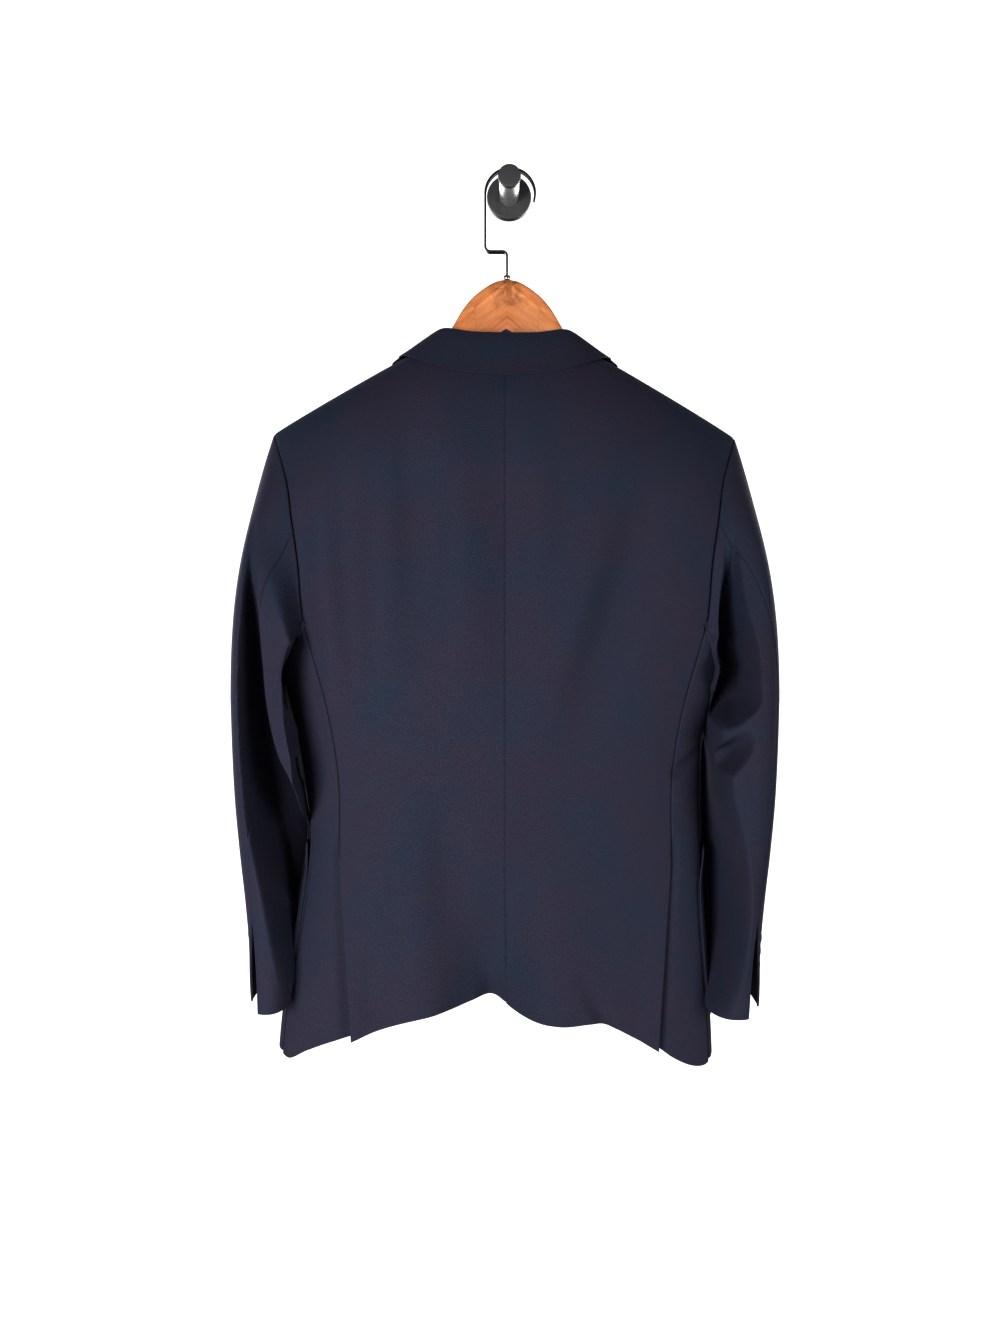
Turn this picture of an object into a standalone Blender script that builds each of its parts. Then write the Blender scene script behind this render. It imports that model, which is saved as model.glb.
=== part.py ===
"""A single breasted blazer on a wooden hanger, hung from a round wall peg, in metres, +Z up.

The wall is the plane Y = 0 and everything stands out from it towards -Y. The origin is the centre of the
peg plate's back face, where it meets the wall. The blazer's front faces the wall and its back faces -Y,
so the wearer's left is at -X. A place on the garment is given by its turn, in degrees round the body
from the centre back (0) over the side (90) to the centre front (180), and by its height Z.
"""

import math

import bmesh
import bpy
import numpy as np
from mathutils import Vector

# Driving dimensions
CLOTH = 0.0015  # wall of every cloth panel
GAP = 0.0003  # between pieces that touch
JACKET_X = -0.0045  # the garment's centre line hangs a little to the wearer's left of the peg
SIDE_Y = -0.065  # depth of the side line, halfway between back and front, below the armholes
ROUNDNESS = 2.6  # exponent of the flattened oval that the body's sections follow
NECK_HALF = 0.078  # half width of the neck at the shoulder line
NECK_BACK_Z = -0.193  # neck seam at the centre back
RIDGE_Z = -0.1665  # height of the shoulder line at the neck
RIDGE_Y = -0.0455  # depth of the shoulder line
HANGER_Y = -0.0520  # depth of the hanger's arms, a little behind it
SHOULDER_SLOPE = 0.585
SHOULDER_HALF = 0.235
SHOULDER_LEAN = 0.0106  # the right shoulder hangs lower than the left
BUTTON_Z = (-0.585, -0.690)
VENT_TOP_Z = -0.685
UNDERLAP = 0.026
CUFF_BACK_Z, CUFF_FRONT_Z = -0.833, -0.824
SLEEVE_CLEAR = 0.0050  # of the sleeve's inner side from the body
ELBOW_RING_Z = -0.53

PLATE_RADIUS, PLATE_DEPTH = 0.0235, 0.008
SHAFT_RADIUS, SHAFT_END_Y = 0.0103, -0.0475
CAP_RADIUS, CAP_DEPTH = 0.0116, 0.0055
HOOK_Y, HOOK_WIDTH, HOOK_THICK, HOOK_BEND = -0.043, 0.006, 0.002, 0.0255
HOOK_X = 0.0008
FERRULE_RADIUS, FERRULE_TOP, FERRULE_BOTTOM = 0.0036, -0.0988, -0.1028
STEM_X = -0.0024
HANGER_TOP = -0.1031
HANGER_SIDES = 16

# Sections of the body: height, half width at the wearer's left and right, depth of the back and front
BODY = (
    (-0.150, 0.240, 0.240, -0.112, -0.030),
    (-0.260, 0.238, 0.238, -0.122, -0.018),
    (-0.330, 0.236, 0.236, -0.127, -0.014),
    (-0.420, 0.234, 0.232, -0.128, -0.013),
    (-0.500, 0.222, 0.216, -0.124, -0.014),
    (-0.568, 0.2066, 0.1960, -0.118, -0.016),
    (-0.620, 0.1980, 0.1938, -0.114, -0.018),
    (-0.664, 0.1939, 0.1943, -0.112, -0.018),
    (-0.726, 0.2025, 0.1960, -0.110, -0.017),
    (-0.783, 0.2126, 0.2002, -0.108, -0.014),
    (-0.837, 0.2217, 0.2044, -0.106, -0.012),
    (-0.900, 0.2275, 0.2072, -0.104, -0.011),
)
# Outer edge of the back panels: height, distance from the centre line. Side seam below, armhole above
BACK_EDGE = (
    (-0.900, 0.1475), (-0.865, 0.1485), (-0.770, 0.1550), (-0.685, 0.1606), (-0.600, 0.1620),
    (-0.530, 0.1740), (-0.485, 0.1865), (-0.455, 0.1945), (-0.440, 0.1960), (-0.400, 0.1990),
    (-0.360, 0.2055), (-0.315, 0.2145), (-0.285, 0.2260), (-0.2625, 0.2350),
)
# Outer edge of the front panels: height, turn. Side seam below, armhole above
FRONT_EDGE = (
    (-0.900, 80.0), (-0.685, 82.0), (-0.600, 93.0), (-0.530, 106.0), (-0.485, 118.0),
    (-0.460, 126.0), (-0.420, 132.5), (-0.370, 132.0), (-0.320, 125.0), (-0.285, 112.0),
    (-0.2625, 90.0),
)
# Top of the side panels, under the arm: turn, height
UNDERARM = (
    (52.0, -0.455), (65.0, -0.485), (80.0, -0.502), (95.0, -0.506), (108.0, -0.499), (118.0, -0.485),
)
# Inner edge of the front panels: height, distance from the centre line to the wearer's own side
OPENING = (
    (-0.872, 0.112), (-0.866, 0.090), (-0.858, 0.070), (-0.846, 0.050), (-0.830, 0.034), (-0.805, 0.018),
    (-0.770, 0.004), (-0.730, -0.008), (-0.690, -0.016), (-0.585, -0.018), (-0.560, -0.013),
    (-0.450, 0.011), (-0.350, 0.033), (-0.250, 0.054), (-0.205, 0.066), (-0.175, 0.078),
)
# Hem of the back: distance from the centre line (left negative), height
BACK_HEM = (
    (-0.150, -0.8620), (-0.125, -0.8512), (-0.100, -0.8425), (-0.050, -0.8320), (-0.014, -0.8275),
    (0.020, -0.8400), (0.050, -0.8440), (0.100, -0.8455), (0.125, -0.8580), (0.150, -0.8720),
)
# Hem of the sides and fronts: turn, height at the left, height at the right
SIDE_HEM = (
    (24.0, -0.841, -0.841), (30.0, -0.848, -0.850), (36.0, -0.857, -0.860), (41.0, -0.861, -0.8695),
    (55.0, -0.8735, -0.887), (67.0, -0.8835, -0.891),
    (76.0, -0.880, -0.8885), (90.0, -0.876, -0.882), (110.0, -0.876, -0.878), (140.0, -0.8755, -0.876),
    (180.0, -0.872, -0.872),
)
# Folds of the body: from (x, z) to (x, z), half width, depth at each end (+ goes in), +1 back or -1 front
BODY_FOLDS = (
    (-0.006, -0.680, -0.017, -0.840, 0.060, 0.000, 0.034, 1),
    (-0.016, -0.780, -0.016, -0.850, 0.026, 0.000, 0.016, 1),
    (-0.165, -0.300, -0.150, -0.520, 0.030, 0.005, 0.000, 1),
    (-0.200, -0.330, -0.172, -0.560, 0.026, -0.004, 0.000, 1),
    (-0.130, -0.320, -0.120, -0.560, 0.026, -0.003, 0.000, 1),
    (-0.020, -0.280, -0.014, -0.560, 0.030, 0.004, 0.001, 1),
    (0.130, -0.420, 0.050, -0.540, 0.036, 0.006, 0.002, 1),
    (0.150, -0.560, 0.090, -0.640, 0.034, 0.004, 0.000, 1),
    (0.094, -0.830, 0.106, -0.862, 0.020, 0.000, 0.006, 1),
    (0.110, -0.350, 0.060, -0.600, 0.040, 0.004, 0.002, -1),
    (-0.110, -0.350, -0.070, -0.600, 0.040, 0.004, 0.002, -1),
)
# Sections of the sleeves: height, outer edge from the centre line, inner edge left, inner edge right,
# depth of the back and front. Where the body is in the way, the inner side lies along it instead
SLEEVE = (
    (-0.530, 0.2670, 0.2060, 0.1960, -0.135, -0.007),
    (-0.580, 0.2665, 0.1980, 0.1900, -0.132, -0.006),
    (-0.630, 0.2650, 0.1930, 0.1870, -0.127, -0.006),
    (-0.680, 0.2612, 0.1920, 0.1870, -0.122, -0.006),
    (-0.730, 0.2560, 0.1960, 0.1880, -0.118, -0.006),
    (-0.780, 0.2515, 0.2020, 0.1900, -0.116, -0.007),
    (-0.850, 0.2495, 0.2090, 0.1950, -0.114, -0.008),
)
# How the sleeve cloth leaves the armhole: share of the way round it, out, back, down
SLEEVE_LEAVES = (
    (0.00, 0.31, 0.00, 0.95), (0.20, 0.72, 0.28, 0.62), (0.36, 0.60, 0.30, 0.74), (0.48, 0.20, 0.00, 0.98),
    (0.60, 0.45, -0.10, 0.88), (0.80, 0.75, -0.20, 0.62), (1.00, 0.31, 0.00, 0.95),
)
# Sleeve seams: share of the way down, elbow seam and front seam as shares of the way round
SLEEVE_SEAMS = (
    (0.00, 0.198, 0.600), (0.15, 0.130, 0.580), (0.30, 0.075, 0.560), (0.45, 0.052, 0.550),
    (0.70, 0.042, 0.540), (1.00, 0.038, 0.535),
)
# Folds of the sleeves, wearer's left -1 or right 1: from (share round, z) to (share round, z), half width,
# depth at each end
SLEEVE_FOLDS = (
    (-1, 0.16, -0.40, 0.14, -0.60, 0.030, 0.004, 0.012),
    (-1, 0.34, -0.52, 0.24, -0.66, 0.030, -0.004, -0.002),
    (-1, 0.20, -0.60, 0.36, -0.72, 0.040, 0.010, 0.016),
    (-1, 0.26, -0.74, 0.22, -0.80, 0.050, 0.010, 0.002),
    (1, 0.22, -0.40, 0.32, -0.54, 0.045, 0.006, 0.016),
    (1, 0.30, -0.55, 0.16, -0.60, 0.030, -0.006, -0.004),
    (1, 0.34, -0.62, 0.20, -0.66, 0.030, 0.010, 0.004),
    (1, 0.30, -0.72, 0.26, -0.80, 0.050, 0.006, 0.000),
)
# The collar, from the centre back (0) to its front end (1): share, stand x and z, fold x, y and z,
# edge x and z. The shoulder line is at share 0.6
COLLAR = (
    (0.00, 0.000, -0.1925, 0.000, -0.0745, -0.1675, 0.000, -0.2170),
    (0.20, 0.036, -0.1900, 0.031, -0.0720, -0.1660, 0.040, -0.2135),
    (0.42, 0.0665, -0.1830, 0.0590, -0.0630, -0.1605, 0.076, -0.2030),
    (0.60, 0.0785, -0.1750, 0.0665, -0.0475, -0.1580, 0.1085, -0.1890),
    (0.78, 0.0735, -0.1900, 0.0640, -0.0320, -0.1710, 0.1150, -0.2080),
    (1.00, 0.0640, -0.2150, 0.0580, -0.0215, -0.2110, 0.1000, -0.2260),
)
# Outer edge of the lapels: share of the way up from the top button, distance from the centre line
LAPEL_EDGE = ((0.00, -0.014), (0.12, 0.016), (0.30, 0.046), (0.55, 0.078), (0.80, 0.106), (1.00, 0.126))
# Upper edge of the hanger: distance from its centre line, height below its top
HANGER_CREST = (
    (0.000, 0.0000), (0.011, 0.0022), (0.024, 0.0100), (0.037, 0.0220), (0.047, 0.0350),
    (0.056, 0.0495), (0.063, 0.0640), (0.070, 0.0765), (0.078, 0.0825),
)
# Rows of the body's panels, as shares of the way from the hem to the shoulder
BODY_ROWS = (
    0.000, 0.022, 0.065, 0.120, 0.185, 0.250, 0.318, 0.390, 0.460, 0.530, 0.600, 0.665, 0.730, 0.790,
    0.845, 0.890, 0.925, 0.955, 0.980, 0.994, 1.000,
)
BACK_COLUMNS = (0.00, 0.12, 0.23, 0.30, NECK_HALF / SHOULDER_HALF, 0.44, 0.57, 0.69, 0.80, 0.90, 1.00)
FRONT_COLUMNS = (0.00, 0.08, 0.16, 0.25, 0.36, 0.48, 0.60, 0.70, 0.79, 0.87, 0.925, 0.965, 1.00)
POCKET_COLUMNS, POCKET_ROWS = FRONT_COLUMNS[3:12], BODY_ROWS[2:7]
SLEEVE_COLUMNS = np.linspace(0, 1, 12)
SLEEVE_ROWS = (0.00, 0.02, 0.06, 0.12, 0.20, 0.28, 0.36, 0.43, 0.51, 0.60, 0.70, 0.80, 0.90, 1.00)
COLLAR_COLUMNS = (0.00, 0.17, 0.28, 0.34, 0.41, 0.55, 0.77, 1.00)

NAVY = (0.020, 0.022, 0.034)


# Curves and folds
def smooth(table, column, place):
    """The value of a table's column at each place, on a smooth curve through the table's rows."""
    rows = np.array(sorted(table))
    at, value = rows[:, 0], rows[:, column]
    slope = np.gradient(value, at)
    low = np.clip(np.searchsorted(at, place) - 1, 0, len(at) - 2)
    step = at[low + 1] - at[low]
    t = np.clip((place - at[low]) / step, 0, 1)
    return (
        (1 + 2 * t) * (1 - t) ** 2 * value[low]
        + t * (1 - t) ** 2 * step * slope[low]
        + t * t * (3 - 2 * t) * value[low + 1]
        - t * t * (1 - t) * step * slope[low + 1]
    )


def ease(low, high, value):
    """0 below low and 1 above high, with a soft change between them."""
    t = np.clip((value - low) / (high - low), 0, 1)
    return t * t * (3 - 2 * t)


def fold_depth(x, z, x0, z0, x1, z1, half_width, depth0, depth1):
    """Depth of one soft fold, which runs from one point to another and fades beyond both."""
    run = (x1 - x0) ** 2 + (z1 - z0) ** 2
    along = ((x - x0) * (x1 - x0) + (z - z0) * (z1 - z0)) / run
    held = np.clip(along, 0, 1)
    away = np.hypot(x - x0 - held * (x1 - x0), z - z0 - held * (z1 - z0))
    across = np.clip(away / half_width, 0, 1)
    return (depth0 + (depth1 - depth0) * held) * np.cos(0.5 * math.pi * across) ** 2


# The body
def half_width(side, height):
    return smooth(BODY, 1 if side < 0 else 2, height)


def ridge_height(x):
    """Height of the shoulder line at a distance from the centre line."""
    past = np.abs(x) - 0.07
    return RIDGE_Z - SHOULDER_SLOPE * 0.5 * (past + np.hypot(past, 0.02)) - SHOULDER_LEAN * x


def ridge_depth(x):
    return RIDGE_Y + 0 * x


def turn_at(side, distance, height):
    """The turn, on the front half, at a distance from the centre line to the wearer's own side."""
    share = np.clip(np.abs(distance) / half_width(side, height), 0, 1)
    return 180 - np.sign(distance) * np.degrees(np.arcsin(share ** (ROUNDNESS / 2)))


def body_point(side, turn, height):
    """A point of the body's outer surface. It rolls over at the shoulder line, where back and front meet."""
    angle = np.radians(turn)
    x = np.sign(np.sin(angle)) * np.abs(np.sin(angle)) ** (2 / ROUNDNESS)
    return body_at(side, x * half_width(side, height), height, np.cos(angle))


def body_at(side, distance, height, facing):
    """The same, from a distance to the wearer's own side; facing is above 0 on the back."""
    share = np.clip(np.abs(distance) / half_width(side, height), 0, 1)
    bulge = (1 - share**ROUNDNESS) ** (1 / ROUNDNESS)
    x = side * distance
    back = smooth(BODY, 3, height)
    front = smooth(BODY, 4, height)
    middle = SIDE_Y + (RIDGE_Y - SIDE_Y) * ease(-0.40, -0.27, height)
    y = np.where(facing > 0, middle + (back - middle) * bulge, middle + (front - middle) * bulge)
    for x0, z0, x1, z1, wide, depth0, depth1, face in BODY_FOLDS:
        depth = fold_depth(x, height, x0, z0, x1, z1, wide, depth0, depth1)
        y = y + np.where(facing * face > 0, face * depth * bulge, 0)
    below = np.clip((ridge_height(x) - height) / (0.15 - 0.17 * np.abs(x)), 0, 1)
    roll = np.sqrt(1 - (1 - below) ** 2)
    crest = ridge_depth(x) - np.sign(facing) * GAP / 2
    return np.stack([JACKET_X + x, crest + (y - crest) * roll, height + 0 * x], axis=-1)


def hem_height(side, turn):
    return smooth(SIDE_HEM, 1 if side < 0 else 2, turn)


def back_surface(side):
    """Across from the centre seam, up from the hem to the neck and shoulder line."""

    def point(across, up):
        hem = smooth(BACK_HEM, 1, side * 0.1485)
        edge_height = hem + (ridge_height(side * SHOULDER_HALF) - hem) * up
        edge = smooth(BACK_EDGE, 1, edge_height)
        distance = GAP / 2 + across * (edge - GAP)
        tip = ridge_height(side * SHOULDER_HALF)
        at_top = GAP / 2 + across * (smooth(BACK_EDGE, 1, tip) - GAP)
        neck = NECK_BACK_Z + (ridge_height(side * at_top) - NECK_BACK_Z) * (at_top / NECK_HALF) ** 2.5
        top = np.where(at_top < NECK_HALF, neck, ridge_height(side * at_top))
        bottom = smooth(BACK_HEM, 1, side * across * 0.1485)
        height = bottom + (top - bottom) * up
        return body_at(side, distance, height, 1.0)

    return point


def seam_turn(side, height):
    """Turn of the seam between the back and the side panel."""
    share = smooth(BACK_EDGE, 1, height) / half_width(side, height)
    return np.degrees(np.arcsin(np.clip(share, 0, 1) ** (ROUNDNESS / 2)))


def side_surface(side):
    """Across from the back seam to the front seam, up from the hem to the armhole."""

    def point(across, up):
        turn = 52.0 + 50.0 * across
        for _ in range(6):
            bottom = hem_height(side, turn)
            height = bottom + (smooth(UNDERARM, 1, turn) - GAP - bottom) * up
            seam = seam_turn(side, height) + 0.30
            run_on = math.degrees(UNDERLAP / 0.15)
            first = seam - ease(VENT_TOP_Z - 0.002, VENT_TOP_Z - 0.030, height) * run_on
            turn = first + (smooth(FRONT_EDGE, 1, height) - 0.60 - first) * across
        spot = body_point(side, turn, height)
        # Just above the vent the panel's edge dips one cloth deeper. Below it, it runs on under the back
        dip = ease(VENT_TOP_Z + 0.030, VENT_TOP_Z + 0.004, height) * (1 - ease(1.0, 6.0, turn - seam))
        spot[..., 1] += (CLOTH + 0.0016) * dip
        return spot

    return point


def front_surface(side):
    """Across from the front edge to the side seam, up from the hem to the neck point and shoulder line."""

    def point(across, up):
        top_turn = turn_at(side, NECK_HALF, -0.175)
        tip_turn = smooth(FRONT_EDGE, 1, ridge_height(side * SHOULDER_HALF)) + 0.35
        top_turn = top_turn + (tip_turn - top_turn) * across
        at_top = half_width(side, -0.22) * np.sin(np.radians(top_turn)) ** (2 / ROUNDNESS)
        for _ in range(8):
            width = half_width(side, ridge_height(side * at_top))
            at_top = width * np.sin(np.radians(top_turn)) ** (2 / ROUNDNESS)
        # The lower rows lie level, and the upper ones follow the slope of the shoulder
        level = ease(0.30, 0.95, up)

        def rise(bottom, top):
            return bottom + (-0.235 + (top + 0.235) * level - bottom) * up

        last = smooth(FRONT_EDGE, 1, rise(hem_height(side, 80.0), ridge_height(side * SHOULDER_HALF))) + 0.35
        height = rise(hem_height(side, 80.0 + 100.0 * (1 - across)), ridge_height(side * at_top))
        inner = smooth(OPENING, 1, rise(hem_height(side, 180.0), ridge_height(side * NECK_HALF)))
        first = np.where(up > 0.9999, turn_at(side, NECK_HALF, -0.175), turn_at(side, inner, height))
        turn = first + (last - first) * across
        spot = body_point(side, turn, height)
        # The wearer's right front lies under the left one where they button
        if side > 0:
            distance = side * (spot[..., 0] - JACKET_X)
            spot[..., 1] -= (CLOTH + 0.0009) * (1 - ease(0.022, 0.060, distance)) * (height < -0.40)
        return spot

    return point


# The sleeves
def armhole_loop(side):
    """The armhole, from the shoulder tip down the back and up the front again, by share of its run."""
    t = np.linspace(0, 1, 60)
    tip = ridge_height(side * SHOULDER_HALF)
    back_z = tip + (-0.455 - tip) * t
    back = body_at(side, smooth(BACK_EDGE, 1, back_z), back_z, 1.0)
    turn = 52.0 + 66.0 * t[1:]
    under = body_point(side, turn, smooth(UNDERARM, 1, turn))
    front_z = -0.485 + (tip + 0.485) * t[1:]
    front = body_point(side, smooth(FRONT_EDGE, 1, front_z), front_z)
    route = np.concatenate([back, under, front])
    route[-1] = route[0]
    run = np.concatenate([[0], np.cumsum(np.linalg.norm(np.diff(route, axis=0), axis=1))])
    return route, run / run[-1]


def sleeve_surface(side):
    """Round the sleeve from its top over the back, and down from the armhole to the cuff."""
    route, run = armhole_loop(side)

    def ring(around, height):
        outer = smooth(SLEEVE, 1, height)
        inner = smooth(SLEEVE, 2 if side < 0 else 3, height)
        back = smooth(SLEEVE, 4, height)
        front = smooth(SLEEVE, 5, height)
        angle = 2 * math.pi * around
        across = np.sign(np.cos(angle)) * np.abs(np.cos(angle)) ** (2 / 2.4)
        deep = np.sign(np.sin(angle)) * np.abs(np.sin(angle)) ** (2 / 2.4)
        x = 0.5 * (outer + inner) + 0.5 * (outer - inner) * across
        y = 0.5 * (back + front) + 0.5 * (back - front) * deep
        body_back, body_front = smooth(BODY, 3, height), smooth(BODY, 4, height)
        share = np.clip((y - SIDE_Y) / np.where(y < SIDE_Y, body_back - SIDE_Y, body_front - SIDE_Y), 0, 1)
        clear = half_width(side, height) * (1 - share**ROUNDNESS) ** (1 / ROUNDNESS) + SLEEVE_CLEAR
        x = 0.5 * (x + clear + np.hypot(x - clear, 0.004))
        return np.stack([JACKET_X + side * x, y, height], axis=-1)

    def point(around, down):
        around = around % 1.0
        held = np.clip(down / 0.36, 0, 1)
        cuff = 0.5 * (CUFF_BACK_Z + CUFF_FRONT_Z) - side * SHOULDER_LEAN * 0.24
        cuff = cuff + 0.5 * (CUFF_BACK_Z - CUFF_FRONT_Z) * np.sin(2 * math.pi * around)
        low = np.clip((down - 0.36) / 0.64, 0, 1)
        height = ELBOW_RING_Z + (cuff - ELBOW_RING_Z) * low
        lower = ring(around, height)
        start = np.stack([np.interp(around, run, route[:, i]) for i in range(3)], axis=-1)
        start[..., 0] += side * (0.0010 + 0.0008 * np.cos(math.pi * around) ** 2)
        end = ring(around, ELBOW_RING_Z + 0 * around)
        reach = np.linalg.norm(end - start, axis=-1)[..., None] / 3
        leaves = np.stack([
            side * smooth(SLEEVE_LEAVES, 1, around),
            -smooth(SLEEVE_LEAVES, 2, around),
            -smooth(SLEEVE_LEAVES, 3, around),
        ], axis=-1)
        first = start + reach * leaves
        last = end + reach * np.array([0.0, 0.0, 1.0])
        t = held[..., None]
        upper = (
            (1 - t) ** 3 * start + 3 * t * (1 - t) ** 2 * first + 3 * t * t * (1 - t) * last + t**3 * end
        )
        spot = np.where(down[..., None] < 0.36, upper, lower)
        # Folds push the cloth towards the sleeve's own middle
        inner = smooth(SLEEVE, 2 if side < 0 else 3, spot[..., 2])
        middle = JACKET_X + side * 0.5 * (smooth(SLEEVE, 1, spot[..., 2]) + inner)
        inward = np.stack([middle - spot[..., 0], -0.068 - spot[..., 1], 0 * middle], axis=-1)
        inward /= np.maximum(np.linalg.norm(inward, axis=-1)[..., None], 0.01)
        for which, s0, z0, s1, z1, wide, depth0, depth1 in SLEEVE_FOLDS:
            if which == side:
                place = 0.33 * around, spot[..., 2]
                depth = fold_depth(*place, 0.33 * s0, z0, 0.33 * s1, z1, wide, depth0, depth1)
                spot = spot + inward * (depth * ease(0.0, 0.10, down))[..., None]
        return spot

    return point


def sleeve_panel(side, top):
    """The top sleeve lies outside and in front, the under sleeve behind and inside."""
    surface = sleeve_surface(side)

    def point(across, down):
        elbow = smooth(SLEEVE_SEAMS, 1, down)
        front = smooth(SLEEVE_SEAMS, 2, down)
        trim = (1.5 + 1.6 * (1 - ease(0.1, 0.3, down))) * GAP / 0.33
        if top:
            around = front + trim + (1 + elbow - front - 2 * trim) * across
        else:
            around = elbow + trim + (front - elbow - 2 * trim) * across
        return surface(around, down)

    return point


# Collar, lapels and pockets
def front_lift(side, lift):
    """The front's surface moved out by a lift, from a distance to the wearer's own side and a height."""

    def place(distance, height):
        return body_point(side, turn_at(side, distance, height), height) + np.array([0.0, lift, 0.0])

    return place


def lapel_surface(side):
    """Across from the roll line to the outer edge, up from the top button to the gorge."""
    place = front_lift(side, CLOTH + 0.0011)

    def point(across, up):
        # The right one starts higher, where it comes out from under the left front
        risen = up if side < 0 else 0.115 + 0.885 * up
        top = -0.2245 - 0.030 * across
        height = BUTTON_Z[0] + 0.004 + (top - BUTTON_Z[0] - 0.004) * risen
        inner = smooth(OPENING, 1, height)
        if side > 0:
            inner = np.abs(inner) + 0.0008
        inner = inner + 0.0002
        outer = np.maximum(smooth(LAPEL_EDGE, 1, risen), inner) + 0.002
        return place(inner + (outer - inner) * across, height)

    return point


def collar_surface(across, along):
    """Across from the stand's seam over the fold to the outer edge, along from the left end to the right."""
    side = np.where(along < 0, -1.0, 1.0)
    share = np.abs(along)
    column = [smooth(COLLAR, i, share) for i in range(8)]
    facing = np.where(share <= 0.6, 1.0, -1.0)

    def on_body(x, z):
        left = body_at(-1, x, z, facing)
        right = body_at(1, x, z, facing)
        return np.where(side[..., None] < 0, left, right)

    lean = -SHOULDER_LEAN * side
    stand = on_body(column[1], column[2] + lean * column[1])
    under = ridge_height(side * column[6]) - 1e-5
    edge = on_body(column[6], np.minimum(column[7] + lean * column[6], under))
    fold = np.stack([JACKET_X + side * column[3], column[4], column[5] + lean * column[3]], axis=-1)
    outward = edge - stand
    outward[..., 2] = 0
    outward /= np.linalg.norm(outward, axis=-1)[..., None]
    up = np.array([0.0, 0.0, 1.0])
    stand = stand + 0.0014 * up
    turn = math.pi * share / 1.2
    off = np.stack([0.35 * side * np.sin(turn), -np.cos(turn), 0 * share], axis=-1)
    edge = edge + (CLOTH + 0.0010) * off / np.linalg.norm(off, axis=-1)[..., None]
    edge = edge + 0.0040 * up * np.exp(-(((share - 0.58) / 0.14) ** 2))[..., None]
    t = np.clip(across / 0.34, 0, 1)[..., None]
    rise = hermite(stand, fold, (fold - stand) * 0.9, outward * 0.016, t)
    t = np.clip((across - 0.34) / 0.66, 0, 1)[..., None]
    fall = hermite(fold, edge, outward * 0.026, (edge - fold) * 1.0, t)
    return np.where(across[..., None] < 0.34, rise, fall)


def hermite(start, end, leave, arrive, t):
    return (
        (1 + 2 * t) * (1 - t) ** 2 * start
        + t * (1 - t) ** 2 * leave
        + t * t * (3 - 2 * t) * end
        - t * t * (1 - t) * arrive
    )


def pocket_surface(side):
    """A part of the front's own grid, moved out by the cloth and a gap."""
    surface = front_surface(side)

    def point(across, up):
        return surface(across, up) + outward_normal(surface, across, up, side) * (CLOTH + GAP)

    return point


def outward_normal(surface, across, up, side):
    a0, a1 = np.clip(across - 1e-4, 0, 1), np.clip(across + 1e-4, 0, 1)
    u0, u1 = np.clip(up - 1e-4, 0, 1), np.clip(up + 1e-4, 0, 1)
    normal = np.cross(surface(a1, up) - surface(a0, up), surface(across, u1) - surface(across, u0))
    normal /= np.linalg.norm(normal, axis=-1)[..., None]
    middle = surface(across, up) - np.array([JACKET_X, SIDE_Y, 0.0])
    sign = np.sign(np.sum(normal * middle * np.array([1.0, 1.0, 0.0])))
    return normal * sign


# Making objects
def clear_scene():
    for thing in list(bpy.data.objects):
        bpy.data.objects.remove(thing, do_unlink=True)


def material(name, colour, roughness, metallic=0.0):
    made = bpy.data.materials.new(name)
    made.use_nodes = True
    shader = made.node_tree.nodes["Principled BSDF"]
    shader.inputs["Base Color"].default_value = (*colour, 1.0)
    shader.inputs["Roughness"].default_value = roughness
    shader.inputs["Metallic"].default_value = metallic
    return made


def keep(name, mesh, finish, collection):
    piece = bpy.data.objects.new(name, mesh)
    mesh.materials.append(finish)
    collection.objects.link(piece)
    return piece


def cloth_panel(
    name, surface, columns, rows, collection, wall=CLOTH, low=(0.0, 0.0), high=(1.0, 1.0), flip=False
):
    """A grid laid on a surface and thickened inwards by the wall, square to the surface all over."""
    columns, rows = np.array(columns), np.array(rows)
    mesh_grid = bmesh.new()
    bmesh.ops.create_grid(mesh_grid, x_segments=len(columns) - 1, y_segments=len(rows) - 1, size=0.5)
    across = mesh_grid.verts.layers.float.new("across")
    along = mesh_grid.verts.layers.float.new("along")
    for vert in mesh_grid.verts:
        vert[across] = columns[round((vert.co.x + 0.5) * (len(columns) - 1))]
        vert[along] = rows[round((vert.co.y + 0.5) * (len(rows) - 1))]
    made = bmesh.ops.extrude_face_region(mesh_grid, geom=mesh_grid.faces[:])
    inner = {item for item in made["geom"] if isinstance(item, bmesh.types.BMVert)}
    verts = list(mesh_grid.verts)
    a = np.array([vert[across] for vert in verts])
    b = np.array([vert[along] for vert in verts])
    a = columns[np.abs(columns[None, :] - a[:, None]).argmin(axis=1)]
    b = rows[np.abs(rows[None, :] - b[:, None]).argmin(axis=1)]
    step = 1e-5
    a0, a1 = np.maximum(a - step, low[0]), np.minimum(a + step, high[0])
    b0, b1 = np.maximum(b - step, low[1]), np.minimum(b + step, high[1])
    normal = np.cross(surface(a1, b) - surface(a0, b), surface(a, b1) - surface(a, b0))
    normal /= np.linalg.norm(normal, axis=-1)[..., None]
    if flip:
        normal = -normal
    place = surface(a, b)
    deep = np.array([wall if vert in inner else 0.0 for vert in verts])
    place = place - normal * deep[:, None]
    for vert, spot in zip(verts, place):
        vert.co = spot
    bmesh.ops.recalc_face_normals(mesh_grid, faces=mesh_grid.faces[:])
    mesh = bpy.data.meshes.new(name)
    mesh_grid.to_mesh(mesh)
    mesh_grid.free()
    mesh.shade_smooth()
    mesh.set_sharp_from_angle(angle=math.radians(50))
    return keep(name, mesh, FINISH["cloth"], collection)


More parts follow.
